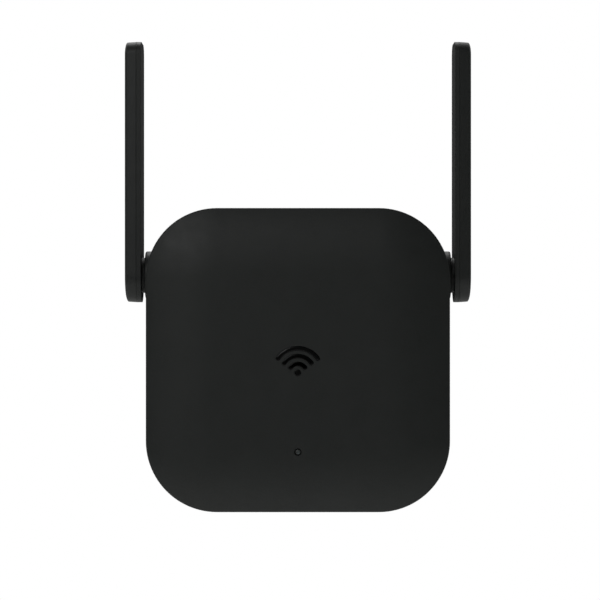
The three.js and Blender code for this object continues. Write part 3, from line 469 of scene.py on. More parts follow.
    def crown(self, axis: Axis, way: int, band: float, drop: float, steps: int) -> None:
        """Lets an end face fall away in a quarter ellipse round its rim.

        Args:
            axis: The axis the end face is square to.
            way: Which end of it, -1 or 1.
            band: Width of the band that falls away.
            drop: How far it has fallen at the rim.
            steps: Spans across the band.
        """
        stretch = [1.0, 1.0, 1.0]
        stretch[axis.value] = band / drop
        bmesh.ops.scale(self.mesh, vec=stretch, verts=self.mesh.verts)
        self.bevel(self._at_end(axis, way, list(self.mesh.edges)), band, steps)
        stretch[axis.value] = drop / band
        bmesh.ops.scale(self.mesh, vec=stretch, verts=self.mesh.verts)
        flat = self._at_end(axis, way, list(self.mesh.faces))
        bmesh.ops.inset_region(self.mesh, faces=flat, thickness=CAP_MARGIN, depth=0)

    def round_cut_edges(
        self, axis: Axis, places: Span, least_angle: float, radius: float
    ) -> None:
        """Rounds the sharp edges that lie between two places on an axis.

        Args:
            axis: The axis.
            places: The two places.
            least_angle: Edges with less than this angle are left, in radians.
            radius: Radius of the rounding.
        """
        self.merge_flats()
        low, high = places
        edges = [
            edge
            for edge in self.mesh.edges
            if len(edge.link_faces) == 2
            and all(low <= v.co[axis.value] <= high for v in edge.verts)
            and edge.calc_face_angle(0) > least_angle
        ]
        self.bevel(edges, radius, 2)

    def round_rim(
        self, inner_half: float, reach: float, radius: float, deepest: float
    ) -> None:
        """Rounds the edge where the side walls meet the front of a rounded square.

        Args:
            inner_half: Half the distance between the centres of its round corners.
            reach: Distance from those centres past which an edge belongs to the rim.
            radius: Radius of the rounding.
            deepest: Edges behind this place on Y are left.
        """
        edges = []
        for edge in self.mesh.edges:
            if len(edge.link_faces) != 2 or edge.calc_face_angle(0) < math.radians(40):
                continue
            outside = all(
                math.hypot(
                    max(abs(v.co.x) - inner_half, 0), max(abs(v.co.z) - inner_half, 0)
                ) > reach
                for v in edge.verts
            )
            if outside and all(v.co.y < deepest for v in edge.verts):
                edges.append(edge)
        self.bevel(edges, radius, 3)

    def mix(self, mixing: Mixing, others: tuple["Form", ...]) -> "Form":
        """Joins, cuts or trims this form with others, one after another.

        Args:
            mixing: What the others do to this form.
            others: The other forms.

        Returns:
            This form.
        """
        host = self._as_object("host")
        tools = [other._as_object("tool") for other in others]
        for tool in tools:
            modifier = host.modifiers.new("mix", "BOOLEAN")
            modifier.operation = mixing.value
            modifier.solver = "MANIFOLD"
            modifier.object = tool
        shown = host.evaluated_get(bpy.context.evaluated_depsgraph_get())
        self.mesh.clear()
        self.mesh.from_mesh(shown.data)
        for made in (host, *tools):
            data = made.data
            bpy.data.objects.remove(made)
            bpy.data.meshes.remove(data)
        return self

    def join(self, *others: "Form") -> "Form":
        """Adds other forms to this one."""
        return self.mix(Mixing.JOIN, others)

    def cut(self, *others: "Form") -> "Form":
        """Takes other forms away from this one."""
        return self.mix(Mixing.CUT, others)

    def keep(self, *others: "Form") -> "Form":
        """Keeps what this form shares with each of the others."""
        return self.mix(Mixing.KEEP, others)

    def _as_object(self, name: str) -> bpy.types.Object:
        """This form as a passing object in the scene."""
        data = bpy.data.meshes.new(name)
        self.mesh.to_mesh(data)
        made = bpy.data.objects.new(name, data)
        bpy.context.scene.collection.objects.link(made)
        return made

    def tidy(self) -> None:
        """Merges doubled points and turns all faces outwards."""
        bmesh.ops.remove_doubles(self.mesh, verts=self.mesh.verts, dist=TINY / 5)
        bmesh.ops.recalc_face_normals(self.mesh, faces=self.mesh.faces)

    def merge_flats(self) -> None:
        """Tidies the form and makes neighbouring faces that lie in one plane one."""
        self.tidy()
        mesh = self.mesh
        bmesh.ops.dissolve_degenerate(mesh, edges=mesh.edges, dist=TINY / 10)
        bmesh.ops.dissolve_limit(
            mesh, verts=mesh.verts, edges=mesh.edges, angle_limit=SAME_PLANE
        )


@dataclass(frozen=True)
class Piece:
    """What a finished piece is called, rides on, stands for and is dressed in."""

    name: str
    body: Body
    slot: Slot
    nodes: tuple[str, ...]
    finish: "Finish"
    flat_rear: bool = False

    def make(self, form: Form) -> bpy.types.Object:
        """Turns a form into the finished piece, in metres.

        Args:
            form: The form, which is used up.

        Returns:
            The piece's object.
        """
        form.merge_flats()
        mesh = form.mesh
        bmesh.ops.scale(mesh, vec=(MM, MM, MM), verts=mesh.verts)
        for face in mesh.faces:
            face.smooth = not (self.flat_rear and face.normal.y > FACING)
        data = bpy.data.meshes.new(self.name)
        mesh.to_mesh(data)
        mesh.free()
        data.set_sharp_from_angle(angle=SHARP_EDGE)
        data.materials.append(self.finish.material())
        made = bpy.data.objects.new(self.name, data)
        bpy.context.scene.collection.objects.link(made)
        evened = made.modifiers.new("even shading", "WEIGHTED_NORMAL")
        evened.mode, evened.weight, evened.keep_sharp = "FACE_AREA", 80, True
        evened.thresh = FLAT_AREA
        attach(made, self.body.value)
        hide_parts(*self.nodes)
        log.info("%s: %d faces on %s", self.name, len(data.polygons), self.body.value)
        return made


# ------------------------------------------------------------------------- finishes


class Sheet:
    """A material's node tree, with short calls for its nodes."""

    def __init__(self, name: str) -> None:
        """Starts a material with one Principled shader.

        Args:
            name: The material's name.
        """
        self.material = bpy.data.materials.new(name)
        self.material.use_nodes = True
        self.tree = self.material.node_tree
        self.shader = self.tree.nodes["Principled BSDF"]
        self.place = self.tree.nodes.new("ShaderNodeTexCoord").outputs["Object"]

    def node(self, kind: str, **settings: object) -> bpy.types.Node:
        """Adds a node and sets its properties."""
        made = self.tree.nodes.new(kind)
        for key, value in settings.items():
            setattr(made, key, value)
        return made

    def feed(self, socket: bpy.types.NodeSocket, value: object) -> None:
        """Links a socket, or sets it where the value is plain."""
        if isinstance(value, bpy.types.NodeSocket):
            self.tree.links.new(value, socket)
        elif isinstance(value, tuple) and len(value) == 3 and socket.type == "RGBA":
            socket.default_value = (*value, 1)
        else:
            socket.default_value = value

    def set(self, **sockets: object) -> None:
        """Feeds the shader's sockets, named with underscores for spaces."""
        for key, value in sockets.items():
            self.feed(self.shader.inputs[key.replace("_", " ")], value)

    def stretched(self, stretch: Place) -> bpy.types.NodeSocket:
        """Object coordinates, scaled on each axis."""
        node = self.node("ShaderNodeMapping", vector_type="POINT")
        self.feed(node.inputs["Vector"], self.place)
        node.inputs["Scale"].default_value = stretch
        return node.outputs["Vector"]

    def noise(
        self,
        grain_mm: float,
        detail: float = 2.0,
        roughness: float = 0.5,
        place: bpy.types.NodeSocket | None = None,
    ) -> bpy.types.NodeSocket:
        """Noise with grains of about one size.

        Args:
            grain_mm: The size of a grain.
            detail: Octaves.
            roughness: How strong the finer octaves are.
            place: Coordinates other than the plain ones.

        Returns:
            The noise, about 0.5.
        """
        node = self.node("ShaderNodeTexNoise")
        self.feed(node.inputs["Vector"], place or self.place)
        self.feed(node.inputs["Scale"], 1 / (grain_mm * MM))
        self.feed(node.inputs["Detail"], detail)
        self.feed(node.inputs["Roughness"], roughness)
        return node.outputs[0]

    def cells(self, size_mm: float, feature: str = "F1") -> bpy.types.NodeSocket:
        """Distance in a pattern of cells.

        Args:
            size_mm: The size of a cell.
            feature: Which distance, as the Voronoi node names it.

        Returns:
            The distance.
        """
        node = self.node("ShaderNodeTexVoronoi", distance="CHEBYCHEV", feature=feature)
        self.feed(node.inputs["Vector"], self.place)
        self.feed(node.inputs["Scale"], 1 / (size_mm * MM))
        return node.outputs["Distance"]

    def waves(self, pitch_mm: float, axis: Axis, distortion: float) -> bpy.types.NodeSocket:
        """Bands square to an axis.

        Args:
            pitch_mm: From one band to the next.
            axis: The axis.
            distortion: How far they wander.

        Returns:
            The bands, 0 to 1.
        """
        node = self.node(
            "ShaderNodeTexWave", wave_type="BANDS", bands_direction=axis.name
        )
        self.feed(node.inputs["Vector"], self.place)
        self.feed(node.inputs["Scale"], math.pi / (10 * pitch_mm * MM))
        self.feed(node.inputs["Distortion"], distortion)
        return node.outputs[1]

    def patches(self, size_mm: float, detail: float) -> bpy.types.NodeSocket:
        """Soft-edged patches of about one size, 0 to 1."""
        return self.remap(self.noise(size_mm, detail), SOFT, (0, 1))

    def haze(
        self, size_mm: float, detail: float, least: float, most: float
    ) -> bpy.types.NodeSocket:
        """A roughness that wanders between two values over the surface.

        Args:
            size_mm: The size of its patches.
            detail: Octaves.
            least: The lowest roughness.
            most: The highest roughness.

        Returns:
            The roughness.
        """
        return self.remap(self.noise(size_mm, detail), WIDE, (least, most))

    def remap(
        self, value: bpy.types.NodeSocket, start: Span, end: Span
    ) -> bpy.types.NodeSocket:
        """Maps one range of values onto another, held at its ends."""
        node = self.node("ShaderNodeMapRange", clamp=True)
        for socket, number in zip(node.inputs, (value, *start, *end)):
            self.feed(socket, number)
        return node.outputs[0]

    def sums(self, operation: str, *values: object) -> bpy.types.NodeSocket:
        """The result of a Math node on some values."""
        node = self.node("ShaderNodeMath", operation=operation)
        for socket, value in zip(node.inputs, values):
            self.feed(socket, value)
        return node.outputs[0]

    def between(self, factor: object, first: object, second: object) -> bpy.types.NodeSocket:
        """A colour between two others."""
        node = self.node("ShaderNodeMix", data_type="RGBA")
        colours = (s for s in node.inputs if s.type == "RGBA")
        self.feed(node.inputs["Factor"], factor)
        for socket, colour in zip(colours, (first, second)):
            self.feed(socket, colour)
        return next(s for s in node.outputs if s.type == "RGBA")

    def axis_place(self, axis: Axis) -> bpy.types.NodeSocket:
        """The place along an axis, in metres."""
        node = self.node("ShaderNodeSeparateXYZ")
        self.feed(node.inputs[0], self.place)
        return node.outputs[axis.value]

    def rounded_normal(self, radius_mm: float) -> bpy.types.NodeSocket:
        """The surface's normal with its hard edges rounded off."""
        node = self.node("ShaderNodeBevel", samples=4)
        self.feed(node.inputs["Radius"], radius_mm * MM)
        return node.outputs[0]

    def edges(self, radius_mm: float) -> bpy.types.NodeSocket:
        """1 on hard edges and 0 away from them.

        Args:
            radius_mm: How far the edges reach.

        Returns:
            The mask.
        """
        turn = self.node("ShaderNodeVectorMath", operation="DOT_PRODUCT")
        self.feed(turn.inputs[0], self.rounded_normal(radius_mm))
        self.feed(turn.inputs[1], self.node("ShaderNodeNewGeometry").outputs["Normal"])
        return self.remap(turn.outputs["Value"], (0.98, 0.85), (0.0, 1.0))

    def bump(
        self,
        height: bpy.types.NodeSocket,
        depth_mm: float,
        strength: float = 1.0,
        normal: bpy.types.NodeSocket | None = None,
    ) -> bpy.types.NodeSocket:
        """Relief from a height.

        Args:
            height: The height, 0 to 1.
            depth_mm: What 1 stands for.
            strength: How much of it shows.
            normal: A normal that it is laid over.

        Returns:
            The normal.
        """
        node = self.node("ShaderNodeBump")
        self.feed(node.inputs["Strength"], strength)
        self.feed(node.inputs["Distance"], depth_mm * MM)
        self.feed(node.inputs["Height"], height)
        if normal:
            self.feed(node.inputs["Normal"], normal)
        return node.outputs[0]


def shaded(colour: Colour, amount: float) -> Colour:
    """A colour made lighter or darker by a factor."""
    return tuple(min(c * amount, 1.0) for c in colour)


@dataclass(frozen=True)
class Finish:
    """A finish, which makes its material once."""

    name: str
    colour: Colour

    def dress(self, sheet: Sheet) -> None:
        """Lays the finish out on a node sheet."""
        raise NotImplementedError

    def material(self) -> bpy.types.Material:
        """The finish's material, made on the first call.

        Returns:
            The material.
        """
        known = bpy.data.materials.get(self.name)
        if known is not None:
            return known
        sheet = Sheet(self.name)
        self.dress(sheet)
        sheet.material.diffuse_color = (*self.colour, 1)
        return sheet.material


@dataclass(frozen=True)
class MouldedPlastic(Finish):
    """Injection-moulded plastic with an eroded grain and faintly polished edges."""

    roughness: float = 0.5
    specular: float = 0.5
    grain_mm: float = 0.22
    grain_depth: float = 0.012
    mottle: float = 0.05
    wear: float = 0.25
    edge_mm: float = 0.18

    def dress(self, sheet: Sheet) -> None:
        """Lays the finish out on a node sheet."""
        cloud = sheet.patches(9, 2)
        speck = sheet.remap(sheet.noise(self.grain_mm * 1.7, 1), (0.4, 0.75), (0, 1))
        low, high = shaded(self.colour, 1 - self.mottle), shaded(self.colour, 1 + self.mottle)
        body = sheet.between(cloud, low, high)
        dotted = sheet.between(speck, body, shaded(self.colour, 1 + 2 * self.mottle))
        rubbed = sheet.remap(sheet.noise(2.5, 3), (0.4, 0.65), (0.2, 1))
        worn = sheet.sums("MULTIPLY", sheet.edges(self.edge_mm * 2), rubbed)
        colour = sheet.between(
            sheet.sums("MULTIPLY", worn, self.wear), dotted, shaded(self.colour, 2.2)
        )
        haze = sheet.haze(4, 3, self.roughness - 0.035, self.roughness + 0.035)
        polish = sheet.sums("MULTIPLY", worn, 0.4 * self.wear)
        fine = sheet.noise(self.grain_mm, 2, 0.6)
        grain = sheet.sums("MULTIPLY_ADD", sheet.noise(self.grain_mm * 3, 1), 0.5, fine)
        sheet.set(
            Base_Color=colour,
            Roughness=sheet.sums("SUBTRACT", haze, polish),
            Specular_IOR_Level=self.specular,
            Normal=sheet.bump(grain, self.grain_depth, 1, sheet.rounded_normal(self.edge_mm)),
        )


@dataclass(frozen=True)
class PolishedPlastic(Finish):
    """Mirror-polished plastic with a faint orange peel and fine rub marks."""

    roughness: float = 0.06
    coat: float = 0.4

    def dress(self, sheet: Sheet) -> None:
        """Lays the finish out on a node sheet."""
        cloud = sheet.patches(1.6, 2)
        rubs = sheet.noise(1.2, 4, 0.7, sheet.stretched((1, 1, 9)))
        sheet.set(
            Base_Color=sheet.between(cloud, self.colour, shaded(self.colour, 1.35)),
            Roughness=sheet.remap(rubs, (0.45, 0.75), (self.roughness, self.roughness * 2.4)),
            Coat_Weight=self.coat,
            Coat_Roughness=0.04,
            Normal=sheet.bump(sheet.noise(1.1, 1), 0.004, 0.6, sheet.rounded_normal(0.07)),
        )


@dataclass(frozen=True)
class MilkyPlastic(Finish):
    """Clear-to-milky plastic that carries light."""

    roughness: float = 0.22

    def dress(self, sheet: Sheet) -> None:
        """Lays the finish out on a node sheet."""
        cloud = sheet.patches(0.5, 2)
        sheet.set(
            Base_Color=sheet.between(cloud, self.colour, shaded(self.colour, 1.2)),
            Roughness=sheet.haze(0.3, 2, self.roughness, self.roughness + 0.12),
            Subsurface_Weight=0.15,
            Normal=sheet.bump(sheet.noise(0.4, 1), 0.005, 0.5),
        )


@dataclass(frozen=True)
class DrawnMetal(Finish):
    """Metal with fine drawing or turning marks and a few dull patches."""

    roughness: float = 0.25
    marks: Place = (1, 1, 12)
    mark_mm: float = 0.4
    mark_depth: float = 0.002

    def dress(self, sheet: Sheet) -> None:
        """Lays the finish out on a node sheet."""
        lines = sheet.noise(self.mark_mm, 3, 0.6, sheet.stretched(self.marks))
        dull = sheet.remap(sheet.noise(3, 3), (0.4, 0.7), (0, 1))
        sheet.set(
            Base_Color=sheet.between(dull, self.colour, shaded(self.colour, 0.82)),
            Metallic=1.0,
            Roughness=sheet.remap(
                lines, WIDE, (self.roughness * 0.75, self.roughness * 1.45)
            ),
            Normal=sheet.bump(lines, self.mark_depth, 0.8, sheet.rounded_normal(0.06)),
        )


@dataclass(frozen=True)
class CircuitBoard(Finish):
    """Solder mask over copper tracks, with tinned pads."""

    track_mm: float = 2.6
    pad_mm: float = 3.4
    tin: Colour = (0.62, 0.62, 0.6)

    def dress(self, sheet: Sheet) -> None:
        """Lays the finish out on a node sheet."""
        edge = sheet.cells(self.track_mm, "DISTANCE_TO_EDGE")
        track = sheet.remap(edge, (0.06, 0.09), (1, 0))
        pad = sheet.remap(sheet.cells(self.pad_mm), (0.10, 0.13), (1, 0))
        weave = sheet.noise(0.35, 1)
        mask = sheet.between(weave, shaded(self.colour, 0.85), shaded(self.colour, 1.15))
        tracked = sheet.between(track, mask, shaded(self.colour, 2.1))
        sheet.set(
            Base_Color=sheet.between(pad, tracked, self.tin),
            Metallic=pad,
            Roughness=sheet.haze(2, 2, 0.26, 0.4),
            Normal=sheet.bump(sheet.sums("ADD", track, pad), 0.03, 0.6),
        )


@dataclass(frozen=True)
class Banded(Finish):
    """A surface with bands square to an axis, such as a winding, a braid or tape."""

    second: Colour = (0.1, 0.1, 0.1)
    axis: Axis = Axis.Z
    pitch_mm: float = 0.6
    wander: float = 0.6
    depth_mm: float = 0.06
    roughness: float = 0.4
    metallic: float = 0.0

    def dress(self, sheet: Sheet) -> None:
        """Lays the finish out on a node sheet."""
        bands = sheet.waves(self.pitch_mm, self.axis, self.wander)
        stain = sheet.remap(sheet.noise(2.2, 3), (0.35, 0.7), (0, 0.5))
        sheet.set(
            Base_Color=sheet.between(
                sheet.sums("MAXIMUM", sheet.sums("MULTIPLY", bands, 0.6), stain),
                self.colour,
                self.second,
            ),
            Metallic=self.metallic,
            Roughness=sheet.haze(0.8, 2, self.roughness - 0.06, self.roughness + 0.08),
            Normal=sheet.bump(bands, self.depth_mm, 0.7, sheet.rounded_normal(0.12)),
        )


@dataclass(frozen=True)
class Grained(Finish):
    """Fired, sintered or rubbery stuff with a mineral speckle."""

    second: Colour = (0.2, 0.2, 0.2)
    grain_mm: float = 0.25
    depth_mm: float = 0.02
    roughness: float = 0.55
    coat: float = 0.0
    edge_mm: float = 0.2

    def dress(self, sheet: Sheet) -> None:
        """Lays the finish out on a node sheet."""
        speck = sheet.remap(sheet.noise(self.grain_mm, 3, 0.7), (0.5, 0.72), (0, 1))
        cloud = sheet.remap(sheet.noise(3, 2), SOFT, (0, 0.35))
        both = sheet.sums("MAXIMUM", speck, cloud)
        sheet.set(
            Base_Color=sheet.between(both, self.colour, self.second),
            Roughness=sheet.haze(1.5, 2, self.roughness - 0.05, self.roughness + 0.08),
            Coat_Weight=self.coat,
            Normal=sheet.bump(
                sheet.noise(self.grain_mm, 2), self.depth_mm, 0.6,
                sheet.rounded_normal(self.edge_mm),
            ),
        )


@dataclass(frozen=True)
class PrintedLabel(Finish):
    """A blank paper-grained foil label with a thin printed border."""

    middle: Place = (0.0, 0.0, 0.0)
    half_size: Span = (20.0, 4.0)
    line_mm: float = 0.35
    line_soft_mm: float = 0.03
    ink: Colour = (0.02, 0.02, 0.022)

    def dress(self, sheet: Sheet) -> None:
        """Lays the finish out on a node sheet."""
        nearest: object = 1.0
        for axis, half in ((Axis.X, self.half_size[0]), (Axis.Z, self.half_size[1])):
            off = sheet.sums(
                "SUBTRACT", sheet.axis_place(axis), self.middle[axis.value] * MM
            )
            room = sheet.sums("SUBTRACT", half * MM, sheet.sums("ABSOLUTE", off, 0.0))
            nearest = sheet.sums("MINIMUM", room, nearest)
        soft, line = self.line_soft_mm * MM, self.line_mm * MM
        inside = sheet.remap(nearest, (0.0, soft), (0, 1))
        beyond = sheet.remap(nearest, (line, line + soft), (1, 0))
        border = sheet.sums("MULTIPLY", inside, beyond)
        fibre = sheet.noise(0.5, 3, 0.6, sheet.stretched((1, 1, 5)))
        paper = sheet.between(fibre, shaded(self.colour, 0.93), shaded(self.colour, 1.07))
        sheet.set(
            Base_Color=sheet.between(border, paper, self.ink),
            Roughness=sheet.remap(fibre, WIDE, (0.38, 0.5)),
            Normal=sheet.bump(fibre, 0.004, 0.5),
        )


SHELL = MouldedPlastic("charcoal shell", (0.036, 0.040, 0.038), roughness=0.44)
BLADE = MouldedPlastic("charcoal blade", (0.036, 0.040, 0.038), roughness=0.44)
PLUG = MouldedPlastic(
    "black plug", (0.030, 0.031, 0.032), roughness=0.42, grain_mm=0.16, grain_depth=0.006
)
SLEEVE = MouldedPlastic(
    "pin sleeve", (0.024, 0.024, 0.025), roughness=0.36, grain_mm=0.12, grain_depth=0.003,
    edge_mm=0.1,
)
GLOSS = PolishedPlastic("polished emblem", (0.0022, 0.0028, 0.0026))
LIGHT = MilkyPlastic("light pipe", (0.11, 0.115, 0.11))
NICKEL = DrawnMetal("nickel plating", (0.72, 0.69, 0.64), roughness=0.2, marks=(1, 14, 1))

CARRIED: dict[Slot, Finish] = {
    Slot.STEEL: DrawnMetal(
        "zinc-plated steel", (0.55, 0.55, 0.54), roughness=0.32, marks=(6, 1, 6)
    ),
    Slot.COPPER: DrawnMetal(
        "spring copper", (0.83, 0.48, 0.28), roughness=0.3, marks=(1, 8, 1)
    ),
    Slot.CAN: DrawnMetal("tinned shield", (0.60, 0.60, 0.58), roughness=0.38, marks=(1, 1, 16)),
    Slot.BOARD: CircuitBoard("green board", (0.008, 0.055, 0.028)),
    Slot.CHIP: Grained(
        "chip epoxy", (0.016, 0.016, 0.017), second=(0.035, 0.035, 0.036), grain_mm=0.18,
        depth_mm=0.008, roughness=0.5, edge_mm=0.12,
    ),
    Slot.PAD: Grained(
        "heat pad", (0.30, 0.36, 0.42), second=(0.40, 0.46, 0.5), grain_mm=0.35, roughness=0.7
    ),
    Slot.LED: Grained(
        "led body", (0.75, 0.75, 0.70), second=(0.78, 0.70, 0.35), grain_mm=0.5,
        depth_mm=0.004, roughness=0.3,
    ),
    Slot.WHITE: MouldedPlastic(
        "white plastic", (0.70, 0.70, 0.68), roughness=0.4, grain_depth=0.004, mottle=0.02,
        wear=0.0, edge_mm=0.1,
    ),
    Slot.FERRITE: Grained(
        "ferrite", (0.030, 0.030, 0.032), second=(0.075, 0.075, 0.08), grain_mm=0.3,
        depth_mm=0.03, roughness=0.5,
    ),
    Slot.TAPE: Banded(
        "winding tape", (0.72, 0.50, 0.06), second=(0.50, 0.32, 0.03), pitch_mm=1.3, wander=0.3,
        depth_mm=0.03, roughness=0.3,
    ),
    Slot.CAPACITOR: Banded(
        "capacitor sleeve", (0.012, 0.016, 0.045), second=(0.02, 0.026, 0.07), pitch_mm=3.0,
        wander=1.5, depth_mm=0.01, roughness=0.25,
    ),
    Slot.CERAMIC: Grained(
        "blue ceramic", (0.03, 0.12, 0.34), second=(0.04, 0.17, 0.42), grain_mm=0.5,
        depth_mm=0.03, roughness=0.3, coat=0.5,
    ),
    Slot.FUSE: Banded(
        "fuse tube", (0.55, 0.50, 0.40), second=(0.42, 0.38, 0.30), axis=Axis.X, pitch_mm=3.0,
        wander=0.4, depth_mm=0.01, roughness=0.25,
    ),
    Slot.COAX: Banded(
        "coax jacket", (0.03, 0.03, 0.032), second=(0.06, 0.06, 0.062), pitch_mm=0.35,
        wander=0.8, depth_mm=0.02, roughness=0.45,
    ),
    Slot.SHEET: Grained(
        "insulating paper", (0.55, 0.53, 0.45), second=(0.48, 0.45, 0.36), grain_mm=0.4,
        depth_mm=0.01, roughness=0.6,
    ),
}


# ------------------------------------------------------------------------- hinges


@dataclass(frozen=True)
class Knuckle:
    """The knuckle on one side of the housing, which both shells share."""

    side: Side
    radius: float = 6.4
    length: float = 6.6
    rounding: float = 0.45
    pocket_radius: float = 5.0
    neck_radius: float = 3.45
    mouth_radius: float = 2.2
    end_wall: float = 1.2
    lip: float = 1.8
    rib: float = 1.2

    @property
    def hinge(self) -> Vector:
        """The middle of the hinge."""
        return joint_place(f"antenna_{self.side.word}_hinge")

    @property
    def centre(self) -> Span:
        """The hinge axis's place in Y and Z."""
        return self.hinge.y, self.hinge.z

    @property
    def outer(self) -> float:
        """Distance of the outer end from the middle of the housing."""
        return Extent.of("front_cover").high.x

    @property
    def inner(self) -> float:
        """Distance of the inner end from the middle of the housing."""
        return self.outer - self.length

    def across(self, start: float, end: float) -> Span:
        """Two distances from the middle, as places on X on this side."""
        return self.side.value * start, self.side.value * end

    def barrel(self) -> Form:
        """The solid knuckle, with its outer edge rounded."""
        form = self.plain()
        form.soften(Axis.X, self.side.value, self.rounding, 4)
        return form

    def plain(self, growth: float = 0.0) -> Form:
        """The knuckle's cylinder without its rounding."""
        ends = self.across(self.inner, self.outer)
        return Form.rod(Axis.X, self.radius + growth, ends, self.centre, sides=72)

    def bores(self) -> list[Form]:
        """What the journal, washer and coax need inside the knuckle."""
        start, end = self.inner + self.end_wall, self.outer - self.lip
        steps = (
            (self.neck_radius, end - TOUCH, self.outer + 1),
            (self.pocket_radius, start, end),
            (self.mouth_radius, self.inner - 1, start + TOUCH),
        )
        return [
            Form.rod(Axis.X, radius, self.across(near, far), self.centre)
            for radius, near, far in steps
        ]

    def webs(self, far: float) -> list[Form]:
        """The webs that tie the knuckle to a shell.

        Args:
            far: Where they end on Y, past the inside of the shell.

        Returns:
            The two webs.
        """
        y, z = self.centre
        reach = self.radius - self.rib
        made = []
        for start in (self.inner, self.outer - self.lip - self.rib):
            xs = sorted(self.across(start, start + self.rib))
            ys = sorted((y, far))
            made.append(Form.block((xs[0], ys[0], z - reach), (xs[1], ys[1], z + reach)))
        return made


# ------------------------------------------------------------------------- housing


